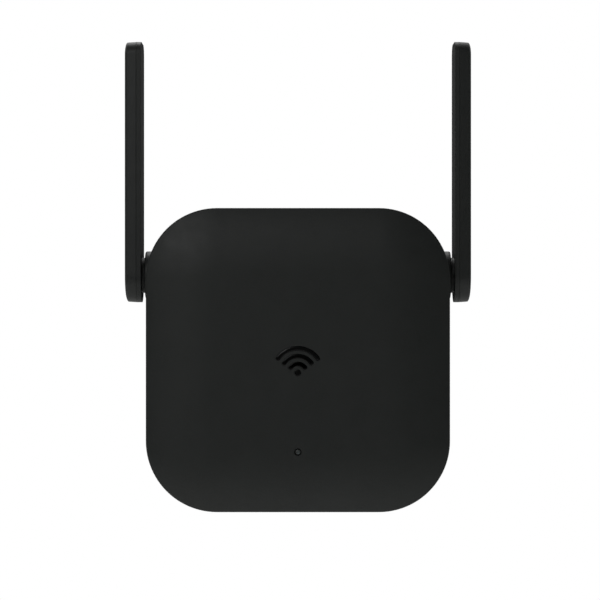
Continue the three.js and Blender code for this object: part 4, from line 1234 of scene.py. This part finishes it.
@dataclass(frozen=True)
class Housing:
    """The two shells of the housing."""

    corner: float = 18.7
    crown_band: float = 17.3
    crown_drop: float = 2.8
    crown_beyond: float = 8.0
    rim_round: float = 0.2
    rim_depth: float = 6.0
    rear_round: float = 4.0
    wall: float = 2.0
    seam: float = 0.3
    seam_edge: float = 0.22
    front_gap: float = 0.002
    opening_round: float = 0.1
    tongue_length: float = 3.0
    tongue_cover: float = 1.0
    clearance: float = 0.15
    corner_steps: int = 24
    crown_steps: int = 30
    vent_count: int = 11
    vent_pitch: float = 3.2
    vent_width: float = 1.4
    vent_front: float = 2.0
    vent_reach: float = 5.5
    vent_round: float = 0.45
    post_radius: float = 2.75
    pilot_radius: float = 1.0
    post_skin: float = 1.1
    light_hole: float = 0.95
    light_socket: float = 1.65
    light_socket_wall: float = 0.95
    reset_hole: float = 0.9
    plug_gap: float = 0.15
    label_recess: float = 0.2
    label_gap: float = 0.15
    label_corner: float = 1.15
    snap_width: float = 8.0
    snap_height: float = 0.45
    snap_length: float = 1.0
    snap_spacing: float = 24.0
    knuckles: tuple[Knuckle, ...] = tuple(Knuckle(side) for side in Side)

    @property
    def half(self) -> float:
        """Half the width and height of the rounded square."""
        return Extent.of("front_cover").high.z

    @property
    def front(self) -> float:
        """The crown of the front on Y, just inside the CAD node's."""
        return Extent.of("front_cover").low.y + self.front_gap

    @property
    def rear(self) -> float:
        """The rear face on Y."""
        return Extent.of("rear_housing").high.y

    @property
    def split(self) -> float:
        """The middle of the joint line on Y."""
        return Extent.of("front_cover").high.y + self.seam / 2

    def outline(self, inset: float, ys: Span) -> Form:
        """A slab with the housing's outline.

        Args:
            inset: How far the outline is moved inwards.
            ys: Its two ends on Y.

        Returns:
            The form.
        """
        reach = self.half - inset
        start, end = sorted(ys)
        return Form.prism(
            Axis.Y, (-reach, start, -reach), (reach, end, reach),
            self.corner - inset, self.corner_steps,
        )

    def domed(self, inset: float, ys: Span, steps: int) -> Form:
        """A slab with the housing's outline whose front falls away in a shallow curve.

        The curve is part of a wider quarter ellipse that runs on past the rim.

        Args:
            inset: How far the outline is moved inwards.
            ys: Its front and its back on Y.
            steps: Spans across the curve.

        Returns:
            The form.
        """
        band = self.crown_band + self.crown_beyond
        whole = self.crown_drop / (1 - math.sqrt(1 - (self.crown_band / band) ** 2))
        front, back = ys
        dome = self.outline(-self.crown_beyond, (front, back + whole))
        dome.crown(Axis.Y, -1, band, whole, steps)
        return dome.keep(self.outline(inset, (front - 1, back)))

    def posts(self, screws: list[str], ys: Span, radius: float) -> list[Form]:
        """Posts or pilot holes behind screws.

        Args:
            screws: The CAD nodes of the screws.
            ys: Their two ends on Y.
            radius: Their radius.

        Returns:
            One form for each screw.
        """
        made = []
        for name in screws:
            middle = Extent.of(name).middle
            made.append(Form.rod(Axis.Y, radius, ys, (middle.x, middle.z), sides=32))
        return made

    def snaps(self, clearance: float) -> list[Form]:
        """The snap hooks, or the slots they drop into.

        Args:
            clearance: 0 for the hooks, or what the slots are larger by.

        Returns:
            One block for each.
        """
        inset = self.tongue_cover + self.clearance
        root = self.half - inset - self.clearance
        tip = self.half - inset + self.snap_height + clearance
        middle = self.split - self.tongue_length / 2
        reach = self.snap_length / 2 + clearance
        run = self.snap_width / 2 + clearance
        made = []
        for side in (-1, 1):
            near, far = sorted((side * root, side * tip))
            made.append(
                Form.block((near, middle - reach, -run), (far, middle + reach, run))
            )
            for along in (-self.snap_spacing / 2, self.snap_spacing / 2):
                low = (along - run, middle - reach, near)
                made.append(Form.block(low, (along + run, middle + reach, far)))
        return made

    def front_cover(self) -> Form:
        """Models the crowned front shell.

        Returns:
            The form.
        """
        rim = self.split - self.seam / 2
        outer = self.domed(0, (self.front, rim), self.crown_steps)
        outer.soften(Axis.Y, 1, self.seam_edge, 2)
        outer.round_rim(
            self.half - self.corner, self.corner - self.rim_round, self.rim_round,
            self.front + self.rim_depth,
        )
        ahead = Form.block((-FAR, -FAR, -FAR), (FAR, rim, FAR))
        outer.join(*(k.barrel().keep(ahead.copy()) for k in self.knuckles))
        hollow = self.domed(self.wall, (self.front + self.wall, self.split + 1), 14)
        rabbet_end = self.split - self.tongue_length - self.clearance
        hollow.join(self.outline(self.tongue_cover, (rabbet_end, self.split + 1)))
        hollow.cut(*(k.plain() for k in self.knuckles))
        hollow.cut(*(web for k in self.knuckles for web in k.webs(self.front)))
        shell = outer.cut(hollow)
        board = Extent.of("main_board").low.y
        screws = [f"main_board_screw_{i}" for i in range(1, 5)]
        root = self.front + self.wall / 2
        light = Extent.of("light_pipe").middle
        socket_end = Extent.of("status_led").low.y - 1
        socket = self.light_socket + self.light_socket_wall
        skin, place = self.front + self.wall, (light.x, light.z)
        shell.join(
            *self.posts(screws, (root, board - TOUCH), self.post_radius),
            Form.rod(Axis.Y, socket, (root, socket_end), place),
        )
        shell.cut(
            *self.posts(screws, (root + self.post_skin, board + 1), self.pilot_radius),
            Form.rod(Axis.Y, self.light_socket, (skin, board), place),
            Form.rod(Axis.Y, self.light_hole, (self.front - 1, skin + 1), place),
            *(bore for k in self.knuckles for bore in k.bores()),
            *self.snaps(self.clearance),
            self.reset_opening(),
        )
        return shell

    def reset_opening(self) -> Form:
        """The hole in the side wall in front of the reset plunger."""
        plunger = Extent.of("reset_plunger").middle
        ends = (self.half - self.wall - 1, self.half + 1)
        return Form.rod(Axis.X, self.reset_hole, ends, (plunger.y, plunger.z), sides=32)

    def vents(self) -> list[Form]:
        """The slots that wrap round the rear edge at the top and the bottom."""
        made = []
        for i in range(self.vent_count):
            x = (i - (self.vent_count - 1) / 2) * self.vent_pitch
            for side in (-1, 1):
                zs = sorted((side * (self.half - self.vent_reach), side * (self.half + 2)))
                slot = Form.block(
                    (x - self.vent_width / 2, self.split + self.vent_front, zs[0]),
                    (x + self.vent_width / 2, self.rear + 2, zs[1]),
                )
                slot.bevel(list(slot.mesh.edges), self.vent_round, 3)
                made.append(slot)
        return made

    def rear_housing(self) -> Form:
        """Models the rear shell, with its tongue, vents and openings.

        Returns:
            The form.
        """
        rim = self.split + self.seam / 2
        outer = self.outline(0, (rim, self.rear))
        outer.soften(Axis.Y, -1, self.seam_edge, 2)
        outer.crown(Axis.Y, 1, self.rear_round, self.rear_round, 10)
        behind = Form.block((-FAR, rim, -FAR), (FAR, FAR, FAR))
        outer.join(*(k.barrel().keep(behind.copy()) for k in self.knuckles))
        hollow = self.outline(self.wall, (self.split - 1, self.rear - self.wall))
        inner_round = self.rear_round - self.wall
        hollow.crown(Axis.Y, 1, inner_round, inner_round, 6)
        hollow.cut(*(k.plain() for k in self.knuckles))
        hollow.cut(*(web for k in self.knuckles for web in k.webs(self.rear)))
        shell = outer.cut(hollow)
        shell.cut(*(bore for k in self.knuckles for bore in k.bores()))
        front = Extent.of("rear_housing").low.y
        tongue = self.outline(self.tongue_cover + self.clearance, (front, rim + self.wall))
        tongue.cut(self.outline(self.wall, (front - 1, rim + self.wall + 1)))
        tongue.join(*self.snaps(0))
        tongue.cut(*(k.plain(self.clearance) for k in self.knuckles))
        shell.join(tongue)
        screws = [f"power_board_screw_{i}" for i in range(1, 5)]
        board = Extent.of("power_board").high.y
        shell.join(
            *self.posts(screws, (board + TOUCH, self.rear - self.wall / 2), self.post_radius)
        )
        shell.cut(
            *self.posts(screws, (board - 1, self.rear - self.post_skin), self.pilot_radius),
            self.plug_opening(),
            self.label_pocket(),
            *self.vents(),
        )
        return shell

    def plug_opening(self) -> Form:
        """The round opening that the plug stands in."""
        ends = (self.rear - self.wall - 1, self.rear + 1)
        return Form.rod(Axis.Y, boss_radius() + self.plug_gap, ends, (0, 0), sides=128)

    def label_pocket(self) -> Form:
        """The shallow pocket that the label lies in."""
        label = Extent.of("rating_label")
        gap = self.label_gap
        low = (label.low.x - gap, self.rear - self.label_recess, label.low.z - gap)
        high = (label.high.x + gap, self.rear + 1, label.high.z + gap)
        return Form.prism(Axis.Y, low, high, self.label_corner, 6)

    def build(self, emblem: "Emblem") -> None:
        """Makes both shells and the label.

        Args:
            emblem: The emblem, whose openings go through the front.
        """
        cover = self.front_cover()
        cover.cut(*emblem.strokes(emblem.opening_gap, (self.front - 1, self.front + 3)))
        cover.join(*emblem.pegs())
        near = (self.front - 0.01, self.front + 0.06)
        cover.round_cut_edges(Axis.Y, near, math.radians(50), self.opening_round)
        Piece("front_cover_shell", Body.HOUSING, Slot.SHELL, ("front_cover",), SHELL).make(cover)
        rear = self.rear_housing()
        Piece("rear_housing_shell", Body.HOUSING, Slot.SHELL, ("rear_housing",), SHELL).make(rear)
        self.label()

    def label(self) -> None:
        """Makes the blank label on the rear face."""
        box = Extent.of("rating_label")
        form = Form.prism(Axis.Y, box.low, box.high, self.label_corner - self.label_gap, 6)
        form.soften(Axis.Y, 1, 0.04, 2)
        size = box.high - box.low
        finish = PrintedLabel(
            "label foil", (0.30, 0.30, 0.30), middle=tuple(box.middle),
            half_size=(size.x / 2 - 0.9, size.z / 2 - 0.9),
        )
        Piece("label_foil", Body.HOUSING, Slot.LABEL, ("rating_label",), finish).make(form)


# ------------------------------------------------------------------------- emblem


@dataclass(frozen=True)
class Emblem:
    """A signal fan of a dot and three arcs, which stands in openings in the front."""

    radii: tuple[float, ...] = (2.3, 4.35, 6.4)
    stroke: float = 1.1
    dot: float = 0.8
    half_angle: float = 0.95
    drop: float = 3.25
    opening_gap: float = 0.075
    plate: float = 0.8
    plate_corner: float = 1.5
    peg_radius: float = 0.6
    peg_gap: float = 0.15
    peg_root: float = 1.1
    peg_proud: float = 0.3
    edge: float = 0.14

    @property
    def box(self) -> Extent:
        """The CAD insert's box."""
        return Extent.of("emblem_insert")

    @property
    def centre(self) -> Span:
        """The dot's place in X and Z."""
        return 0.0, -self.drop

    def strokes(self, growth: float, ys: Span, edge: float = 0.0) -> list[Form]:
        """The dot and the arcs.

        Args:
            growth: How much wider they are made on every side.
            ys: Their two ends on Y, the front one first.
            edge: Rounding of the front edges.

        Returns:
            One form for each.
        """
        half = self.stroke / 2 + growth
        made = [Form.rod(Axis.Y, self.dot + growth, ys, self.centre, sides=40)]
        made += [Form.arc_bar(r, half, ys, self.centre, self.half_angle) for r in self.radii]
        if edge:
            for form in made:
                form.soften(Axis.Y, -1, edge, 3)
        return made

    def peg_places(self) -> list[Span]:
        """Where the two pegs that hold the insert stand."""
        x = max(self.radii) * math.sin(self.half_angle) + 1.5
        return [(side.value * x, max(self.radii) / 2 - self.drop) for side in Side]

    def pegs(self) -> list[Form]:
        """The pegs behind the front that the insert is pressed onto."""
        back = self.box.high.y
        ends = (back - self.plate - self.peg_root, back + self.peg_proud)
        return [
            Form.rod(Axis.Y, self.peg_radius, ends, place, 0.12, sides=24)
            for place in self.peg_places()
        ]

    def build(self) -> None:
        """Makes the polished insert."""
        low, high = self.box.low.copy(), self.box.high.copy()
        face = high.y - self.plate
        front = low.y
        low.y = face
        form = Form.prism(Axis.Y, low, high, self.plate_corner, 8)
        form.join(*self.strokes(0, (front, face + TOUCH), self.edge))
        form.cut(
            *(
                Form.rod(Axis.Y, self.peg_radius + self.peg_gap, (face - 1, high.y + 1), place,
                         sides=24)
                for place in self.peg_places()
            )
        )
        Piece("signal_fan", Body.HOUSING, Slot.GLOSS, ("emblem_insert",), GLOSS).make(form)


@dataclass(frozen=True)
class StatusLight:
    """The light pipe of the status light."""

    tip: float = 0.62
    tip_dome: float = 0.12
    collar: float = 1.5
    collar_length: float = 0.9
    stem: float = 1.0
    soft: float = 0.1

    def build(self) -> None:
        """Makes the light pipe with a domed tip."""
        box = Extent.of("light_pipe")
        front, back = box.low.y, box.high.y
        collar = Extent.of("front_cover").low.y + Housing.wall + TOUCH
        dome = [
            (self.tip * math.sin(a), front + self.tip_dome * (1 - math.cos(a)))
            for a in quarter(5)
        ]
        profile = [
            *dome,
            (self.tip, collar),
            (self.collar - self.soft, collar),
            (self.collar, collar + self.soft),
            (self.collar, collar + self.collar_length),
            (self.stem, collar + self.collar_length),
            (self.stem, back - self.soft),
            (self.stem - self.soft, back),
            (0, back),
        ]
        form = Form.turned(Axis.Y, profile, (box.middle.x, box.middle.z), 40)
        Piece("light_pipe_body", Body.HOUSING, Slot.LIGHT, ("light_pipe",), LIGHT).make(form)


# ------------------------------------------------------------------------- wall plug


@dataclass(frozen=True)
class WallPlug:
    """The plug base, its two pins and their sleeves."""

    wall: float = 3.4
    face_wall: float = 3.0
    chamfer: float = 0.8
    flange_thickness: float = 1.45
    guide_width: float = 5.4
    guide_depth: float = 2.2
    guide_corner: float = 0.6
    clip_width: float = 8.0
    clip_depth: float = 1.6
    collar_radius: float = 3.6
    collar_length: float = 4.0
    bore: float = 1.7
    pad_radius: float = 1.0
    pin_radius: float = 2.0
    pin_core: float = 1.55
    tip_round: float = 1.3
    sleeve_radius: float = 1.8
    head: float = 2.9
    head_length: float = 1.1
    tail: float = 1.2
    tail_length: float = 3.0
    edge_round: float = 0.2
    soft: float = 0.1

    @property
    def boss(self) -> float:
        """Radius of the boss that stands off the rear face."""
        return boss_radius()

    def base(self) -> Form:
        """Models the plug base.

        Returns:
            The form.
        """
        box = Extent.of("plug_base")
        rear = Extent.of("rear_housing").high.y
        back = rear - Housing.wall - TOUCH
        flange = back - self.flange_thickness
        cup = self.boss - self.wall
        arc = [
            (
                self.boss - self.chamfer * (1 - math.cos(a)),
                -self.chamfer * (1 - math.sin(a)),
            )
            for a in quarter(5)
        ]
        body = Form.turned(
            Axis.Y,
            [(0, -self.face_wall), (cup, -self.face_wall), (cup, flange),
             (box.high.x, flange), (box.high.x, back), (self.boss, back), *arc, (0, 0)],
            (0, 0),
            128,
        )
        places = [(Extent.of(f"plug_pin_{s.word}").middle.x, 0.0) for s in Side]
        collar_ends = (-self.face_wall - self.collar_length, -self.face_wall / 2)
        body.join(*(Form.rod(Axis.Y, self.collar_radius, collar_ends, p) for p in places))
        ring = (box.high.x + self.boss) / 2
        pad_ends = (Extent.of("power_board").high.y + TOUCH, flange + TOUCH)
        for eighth in (1, 3, 5, 7):
            angle = eighth * math.pi / 4
            place = (ring * math.cos(angle), ring * math.sin(angle))
            body.join(Form.rod(Axis.Y, self.pad_radius, pad_ends, place, sides=24))
        guides, flats = [], []
        for side in (-1, 1):
            xs = sorted((side * (self.boss - self.guide_depth), side * (self.boss + 1)))
            half = self.guide_width / 2
            low, high = (xs[0], rear, -half), (xs[1], 1, half)
            guides.append(Form.prism(Axis.Y, low, high, self.guide_corner, 4))
            zs = sorted((side * (self.boss - self.clip_depth), side * (self.boss + 1)))
            half = self.clip_width / 2
            flats.append(Form.block((-half, rear, zs[0]), (half, 1, zs[1])))
        body.cut(*(Form.rod(Axis.Y, self.bore, (-30, 10), p) for p in places), *guides)
        body.round_cut_edges(Axis.Y, (-0.9, 0.01), math.radians(40), self.edge_round)
        body.cut(*flats)
        return body

    def pin(self, side: Side) -> Form:
        """Models one pin, from its contact to its rounded tip.

        Args:
            side: Which pin.

        Returns:
            The form.
        """
        box = Extent.of(f"plug_pin_{side.word}")
        sleeve_end = Extent.of(f"pin_sleeve_{side.word}").high.y + TOUCH
        foot = -self.face_wall - self.collar_length - TOUCH
        head = foot - self.head_length
        tip = [
            (
                self.pin_radius - self.tip_round * (1 - math.cos(a)),
                box.high.y - self.tip_round * (1 - math.sin(a)),
            )
            for a in quarter(9)
        ]
        start, soft = head - self.tail_length, self.soft
        profile = [
            (0, start), (self.tail - 2 * soft, start), (self.tail, start + 2 * soft),
            (self.tail, head), (self.head, head), (self.head, foot), (self.pin_core, foot),
            (self.pin_core, sleeve_end), (self.pin_radius - soft, sleeve_end),
            (self.pin_radius, sleeve_end + soft), *tip, (0, box.high.y),
        ]
        return Form.turned(Axis.Y, profile, (box.middle.x, box.middle.z), 56)

    def sleeve(self, side: Side) -> Form:
        """Models the insulation round the root of one pin.

        Args:
            side: Which pin.

        Returns:
            The form.
        """
        box = Extent.of(f"pin_sleeve_{side.word}")
        inner = self.pin_core + TOUCH
        outer, soft = self.sleeve_radius, self.soft
        profile = [
            (inner, box.low.y), (outer - soft, box.low.y), (outer, box.low.y + soft),
            (outer, box.high.y - soft), (outer - soft, box.high.y), (inner, box.high.y),
        ]
        return Form.turned(Axis.Y, profile, (box.middle.x, box.middle.z), 56)

    def build(self) -> None:
        """Makes the plug's pieces."""
        Piece(
            "plug_boss", Body.HOUSING, Slot.PLUG, ("plug_base",), PLUG, flat_rear=True
        ).make(self.base())
        for side in Side:
            word = side.word
            Piece(
                f"pin_{word}", Body.HOUSING, Slot.NICKEL, (f"plug_pin_{word}",), NICKEL
            ).make(self.pin(side))
            Piece(
                f"sleeve_{word}", Body.HOUSING, Slot.PLUG, (f"pin_sleeve_{word}",), SLEEVE
            ).make(self.sleeve(side))


# ------------------------------------------------------------------------- antennas


@dataclass(frozen=True)
class AntennaBlade:
    """One folding blade: its outer shell and the inner plate with the journal."""

    side: Side
    foot_radius: float = 7.2
    tip_radius: float = 3.3
    band: float = 3.0
    drop: float = 0.8
    draft: float = 0.2
    gap: float = 0.9
    wall: float = 1.0
    lip_wall: float = 0.8
    lip_height: float = 0.8
    shoulder: float = 4.7
    neck: float = 3.2
    flange: float = 4.1
    flange_length: float = 1.35
    lug: float = 4.75
    lug_half_angle: float = math.pi / 12
    bore: float = 1.3
    relief: tuple[float, float, float] = (0.8, 1.8, 3.4)
    clearance: float = 0.15

    @property
    def centre(self) -> Span:
        """The hinge axis's place in Y and Z."""
        return Knuckle(self.side).centre

    @property
    def top(self) -> float:
        """The tip's place on Z."""
        return Extent.of(f"antenna_cover_{self.side.word}").high.z

    def across(self, start: float, end: float) -> Span:
        """Two distances from the middle of the housing, as places on X, in order."""
        ends = sorted((self.side.value * start, self.side.value * end))
        return ends[0], ends[1]

    def distances(self, node: str) -> Span:
        """How far a node's near and far faces are from the middle of the housing."""
        box = Extent.of(f"{node}_{self.side.word}")
        near, far = sorted((abs(box.low.x), abs(box.high.x)))
        return near, far

    def slab(self, inset: float, xs: Span) -> Form:
        """A slab with the blade's outline.

        Args:
            inset: How far the outline is moved inwards.
            xs: Its two ends, as distances from the middle of the housing.

        Returns:
            The form.
        """
        y, z = self.centre
        reach = self.foot_radius - inset
        start, end = self.across(*xs)
        return Form.prism(
            Axis.X, (start, y - reach, z - reach), (end, y + reach, self.top - inset),
            reach, 20, self.tip_radius - inset,
        )

    def cover(self) -> Form:
        """Models the outer shell of the blade.

        Returns:
            The form.
        """
        near, far = self.distances("antenna_cover")
        outer = self.slab(0, (near, far))
        outer.draft(Axis.X, self.side.value, self.draft)
        outer.crown(Axis.X, self.side.value, self.band, self.drop, 14)
        return outer.cut(self.slab(self.wall, (near - 1, far - self.wall)))

    def plate(self) -> Form:
        """Models the inner plate, with the shoulder, journal and lug of the hinge.

        Returns:
            The form.
        """
        face = self.distances("antenna_cover")[0] - TOUCH
        knuckle = Knuckle(self.side)
        inner_face = knuckle.outer + self.gap
        form = self.slab(0, (inner_face, face))
        inset = self.wall + self.clearance
        lip = self.slab(inset, (face - TOUCH, face + self.lip_height))
        lip.cut(self.slab(inset + self.lip_wall, (face - 1, face + self.lip_height + 1)))
        journal = self.distances("antenna_back")[0]
        flange_ends = (journal, journal + self.flange_length)
        shoulder = Form.rod(
            Axis.X, self.shoulder, self.across(knuckle.outer + 2 * TOUCH, inner_face + TOUCH),
            self.centre, sides=64,
        )
        form.join(
            lip,
            shoulder,
            Form.rod(Axis.X, self.neck, self.across(journal, inner_face + TOUCH), self.centre),
            Form.rod(Axis.X, self.flange, self.across(*flange_ends), self.centre),
            self.stop_lug(flange_ends),
        )
        deep, wide, high = self.relief
        y, z = self.centre
        xs = self.across(face - deep, face + 1)
        form.cut(
            Form.rod(Axis.X, self.bore, self.across(journal - 1, face + 1), self.centre),
            Form.block((xs[0], y - wide / 2, z), (xs[1], y + wide / 2, z + high)),
        )
        return form

    def stop_lug(self, xs: Span) -> Form:
        """The lug on the journal's flange.

        Args:
            xs: Its two ends, as distances from the middle of the housing.

        Returns:
            The form.
        """
        y, z = self.centre
        start, end = self.across(*xs)
        half = self.lug * math.sin(self.lug_half_angle)
        wedge = Form.block((start, y - half, z), (end, y + half, z + self.lug))
        wedge.keep(Form.rod(Axis.X, self.lug, (start - 1, end + 1), self.centre))
        return wedge

    def build(self) -> None:
        """Makes the blade's two pieces."""
        word, body = self.side.word, Body.antenna(self.side)
        Piece(
            f"blade_shell_{word}", body, Slot.BLADE, (f"antenna_cover_{word}",), BLADE
        ).make(self.cover())
        Piece(
            f"blade_plate_{word}", body, Slot.BLADE, (f"antenna_back_{word}",), BLADE
        ).make(self.plate())


# ------------------------------------------------------------------------- inside


@dataclass(frozen=True)
class Insides:
    """The CAD nodes that stay, dressed by their slot in the record."""

    finishes: dict[Slot, Finish] = field(default_factory=lambda: CARRIED)

    def slot_of(self, node: str) -> Slot | None:
        """The record's slot of a CAD node.

        Args:
            node: The node's name.

        Returns:
            Its slot, or None where the record gives none that is known.
        """
        wanted = {slot.value: slot for slot in Slot}
        for material in frame["nodes"][node].data.materials:
            name = (material.name if material else "").split(".")[0]
            if name in wanted:
                return wanted[name]
        return None

    def build(self) -> None:
        """Dresses each node that no piece stands for."""
        for name, node in frame["nodes"].items():
            slot = self.slot_of(name)
            finish = self.finishes.get(slot)
            if finish is None:
                log.info("%s keeps its plain look (%s)", name, slot)
                continue
            node.material_slots[0].material = finish.material()
            log.info("%s dressed in %s", name, finish.name)


# ------------------------------------------------------------------------- studio


@dataclass(frozen=True)
class SoftBox:
    """A soft lamp aimed at the object."""

    name: str
    place: Colour
    size: Span
    power: float
    target: Colour = (0.0, -0.02, 0.02)

    def build(self) -> None:
        """Hangs the lamp."""
        data = bpy.data.lights.new(self.name, "AREA")
        data.shape = "RECTANGLE"
        data.size, data.size_y = self.size
        data.energy = self.power
        lamp = bpy.data.objects.new(self.name, data)
        lamp.location = self.place
        aim = Vector(self.target) - Vector(self.place)
        lamp.rotation_euler = aim.to_track_quat("-Z", "Y").to_euler()
        bpy.context.scene.collection.objects.link(lamp)


@dataclass(frozen=True)
class Studio:
    """A white room with soft light, a pale floor and the camera."""

    camera_place: Colour = (0.00055, -0.671, 0.0158)
    lens: float = 145.9
    sensor: float = 36.0
    floor_radius: float = 0.85
    floor_height: float = -0.2
    floor_fade: Span = (0.4, 0.97)
    lamps: tuple[SoftBox, ...] = (
        SoftBox("key", (-0.33, -0.84, 0.4), (0.5, 0.5), 1.12),
        SoftBox("table", (0.0, -0.45, -0.5), (0.5, 0.3), 0.03),
        SoftBox("back", (-0.3, 0.7, 1.3), (1.0, 0.8), 5.0),
    )
    backdrop: float = 1.0
    front_glow: float = 0.04
    back_glow: float = 0.9
    behind: Span = (-0.25, 0.5)
    above: Span = (0.1, 0.6)

    def world(self) -> None:
        """Makes a backdrop that is white to look at and lights from behind, above and below."""
        world = bpy.data.worlds.new("white room")
        world.use_nodes = True
        bpy.context.scene.world = world
        tree = world.node_tree
        tree.nodes.clear()
        out = tree.nodes.new("ShaderNodeOutputWorld")
        seen, lit = (tree.nodes.new("ShaderNodeBackground") for _ in range(2))
        seen.inputs["Strength"].default_value = self.backdrop
        seen.inputs["Color"].default_value = (1, 1, 1, 1)
        lit.inputs["Color"].default_value = (1, 1, 1, 1)
        path = tree.nodes.new("ShaderNodeLightPath")
        mix = tree.nodes.new("ShaderNodeMixShader")
        coord = tree.nodes.new("ShaderNodeTexCoord")
        split = tree.nodes.new("ShaderNodeSeparateXYZ")
        links = tree.links
        links.new(coord.outputs["Generated"], split.inputs[0])
        height, both, glow = (tree.nodes.new("ShaderNodeMath") for _ in range(3))
        height.operation, both.operation, glow.operation = "ABSOLUTE", "MULTIPLY", "MULTIPLY_ADD"
        links.new(split.outputs[2], height.inputs[0])
        factors = ((split.outputs[1], self.behind), (height.outputs[0], self.above))
        for number, (source, span) in enumerate(factors):
            ramp = tree.nodes.new("ShaderNodeMapRange")
            ramp.interpolation_type = "SMOOTHSTEP"
            links.new(source, ramp.inputs[0])
            ramp.inputs[1].default_value, ramp.inputs[2].default_value = span
            links.new(ramp.outputs[0], both.inputs[number])
        links.new(both.outputs[0], glow.inputs[0])
        glow.inputs[1].default_value = self.back_glow - self.front_glow
        glow.inputs[2].default_value = self.front_glow
        links.new(glow.outputs[0], lit.inputs["Strength"])
        links.new(path.outputs["Is Camera Ray"], mix.inputs[0])
        links.new(lit.outputs[0], mix.inputs[1])
        links.new(seen.outputs[0], mix.inputs[2])
        links.new(mix.outputs[0], out.inputs[0])

    def floor(self) -> None:
        """Lays a pale round floor that fades into the backdrop."""
        mesh = bmesh.new()
        bmesh.ops.create_circle(
            mesh, cap_ends=True, segments=128, radius=self.floor_radius,
            matrix=Matrix.Translation((0, 0, self.floor_height)),
        )
        data = bpy.data.meshes.new("floor")
        mesh.to_mesh(data)
        mesh.free()
        sheet = Sheet("pale floor")
        length = sheet.node("ShaderNodeVectorMath", operation="LENGTH")
        sheet.feed(length.inputs[0], sheet.stretched((1, 1, 0)))
        start, end = (share * self.floor_radius for share in self.floor_fade)
        fade = sheet.remap(length.outputs["Value"], (start, end), (0, 1))
        sheet.set(Base_Color=(0.8, 0.8, 0.79), Roughness=0.6)
        clear = sheet.node("ShaderNodeBsdfTransparent")
        mix = sheet.node("ShaderNodeMixShader")
        sheet.feed(mix.inputs[0], fade)
        sheet.tree.links.new(sheet.shader.outputs[0], mix.inputs[1])
        sheet.tree.links.new(clear.outputs[0], mix.inputs[2])
        out = sheet.tree.nodes["Material Output"]
        sheet.tree.links.new(mix.outputs[0], out.inputs["Surface"])
        data.materials.append(sheet.material)
        made = bpy.data.objects.new("floor", data)
        bpy.context.scene.collection.objects.link(made)

    def camera(self) -> None:
        """Sets the camera up in front of the object."""
        data = bpy.data.cameras.new("camera")
        data.lens, data.sensor_width = self.lens, self.sensor
        made = bpy.data.objects.new("camera", data)
        made.location = self.camera_place
        made.rotation_euler = (math.pi / 2, 0, 0)
        bpy.context.scene.collection.objects.link(made)
        bpy.context.scene.camera = made

    def build(self) -> None:
        """Sets up everything round the object."""
        self.world()
        self.floor()
        self.camera()
        for lamp in self.lamps:
            lamp.build()
        view = bpy.context.scene.view_settings
        view.view_transform, view.look = "Standard", "None"
        log.info("studio: %d lamps", len(self.lamps))


def main() -> None:
    """Builds the object's pieces in order, then the studio round them."""
    logging.basicConfig(level=logging.INFO, format="%(name)s: %(message)s")
    emblem = Emblem()
    Insides().build()
    Housing().build(emblem)
    emblem.build()
    StatusLight().build()
    WallPlug().build()
    for side in Side:
        AntennaBlade(side).build()
    Studio().build()


if __name__ == "__main__":
    main()
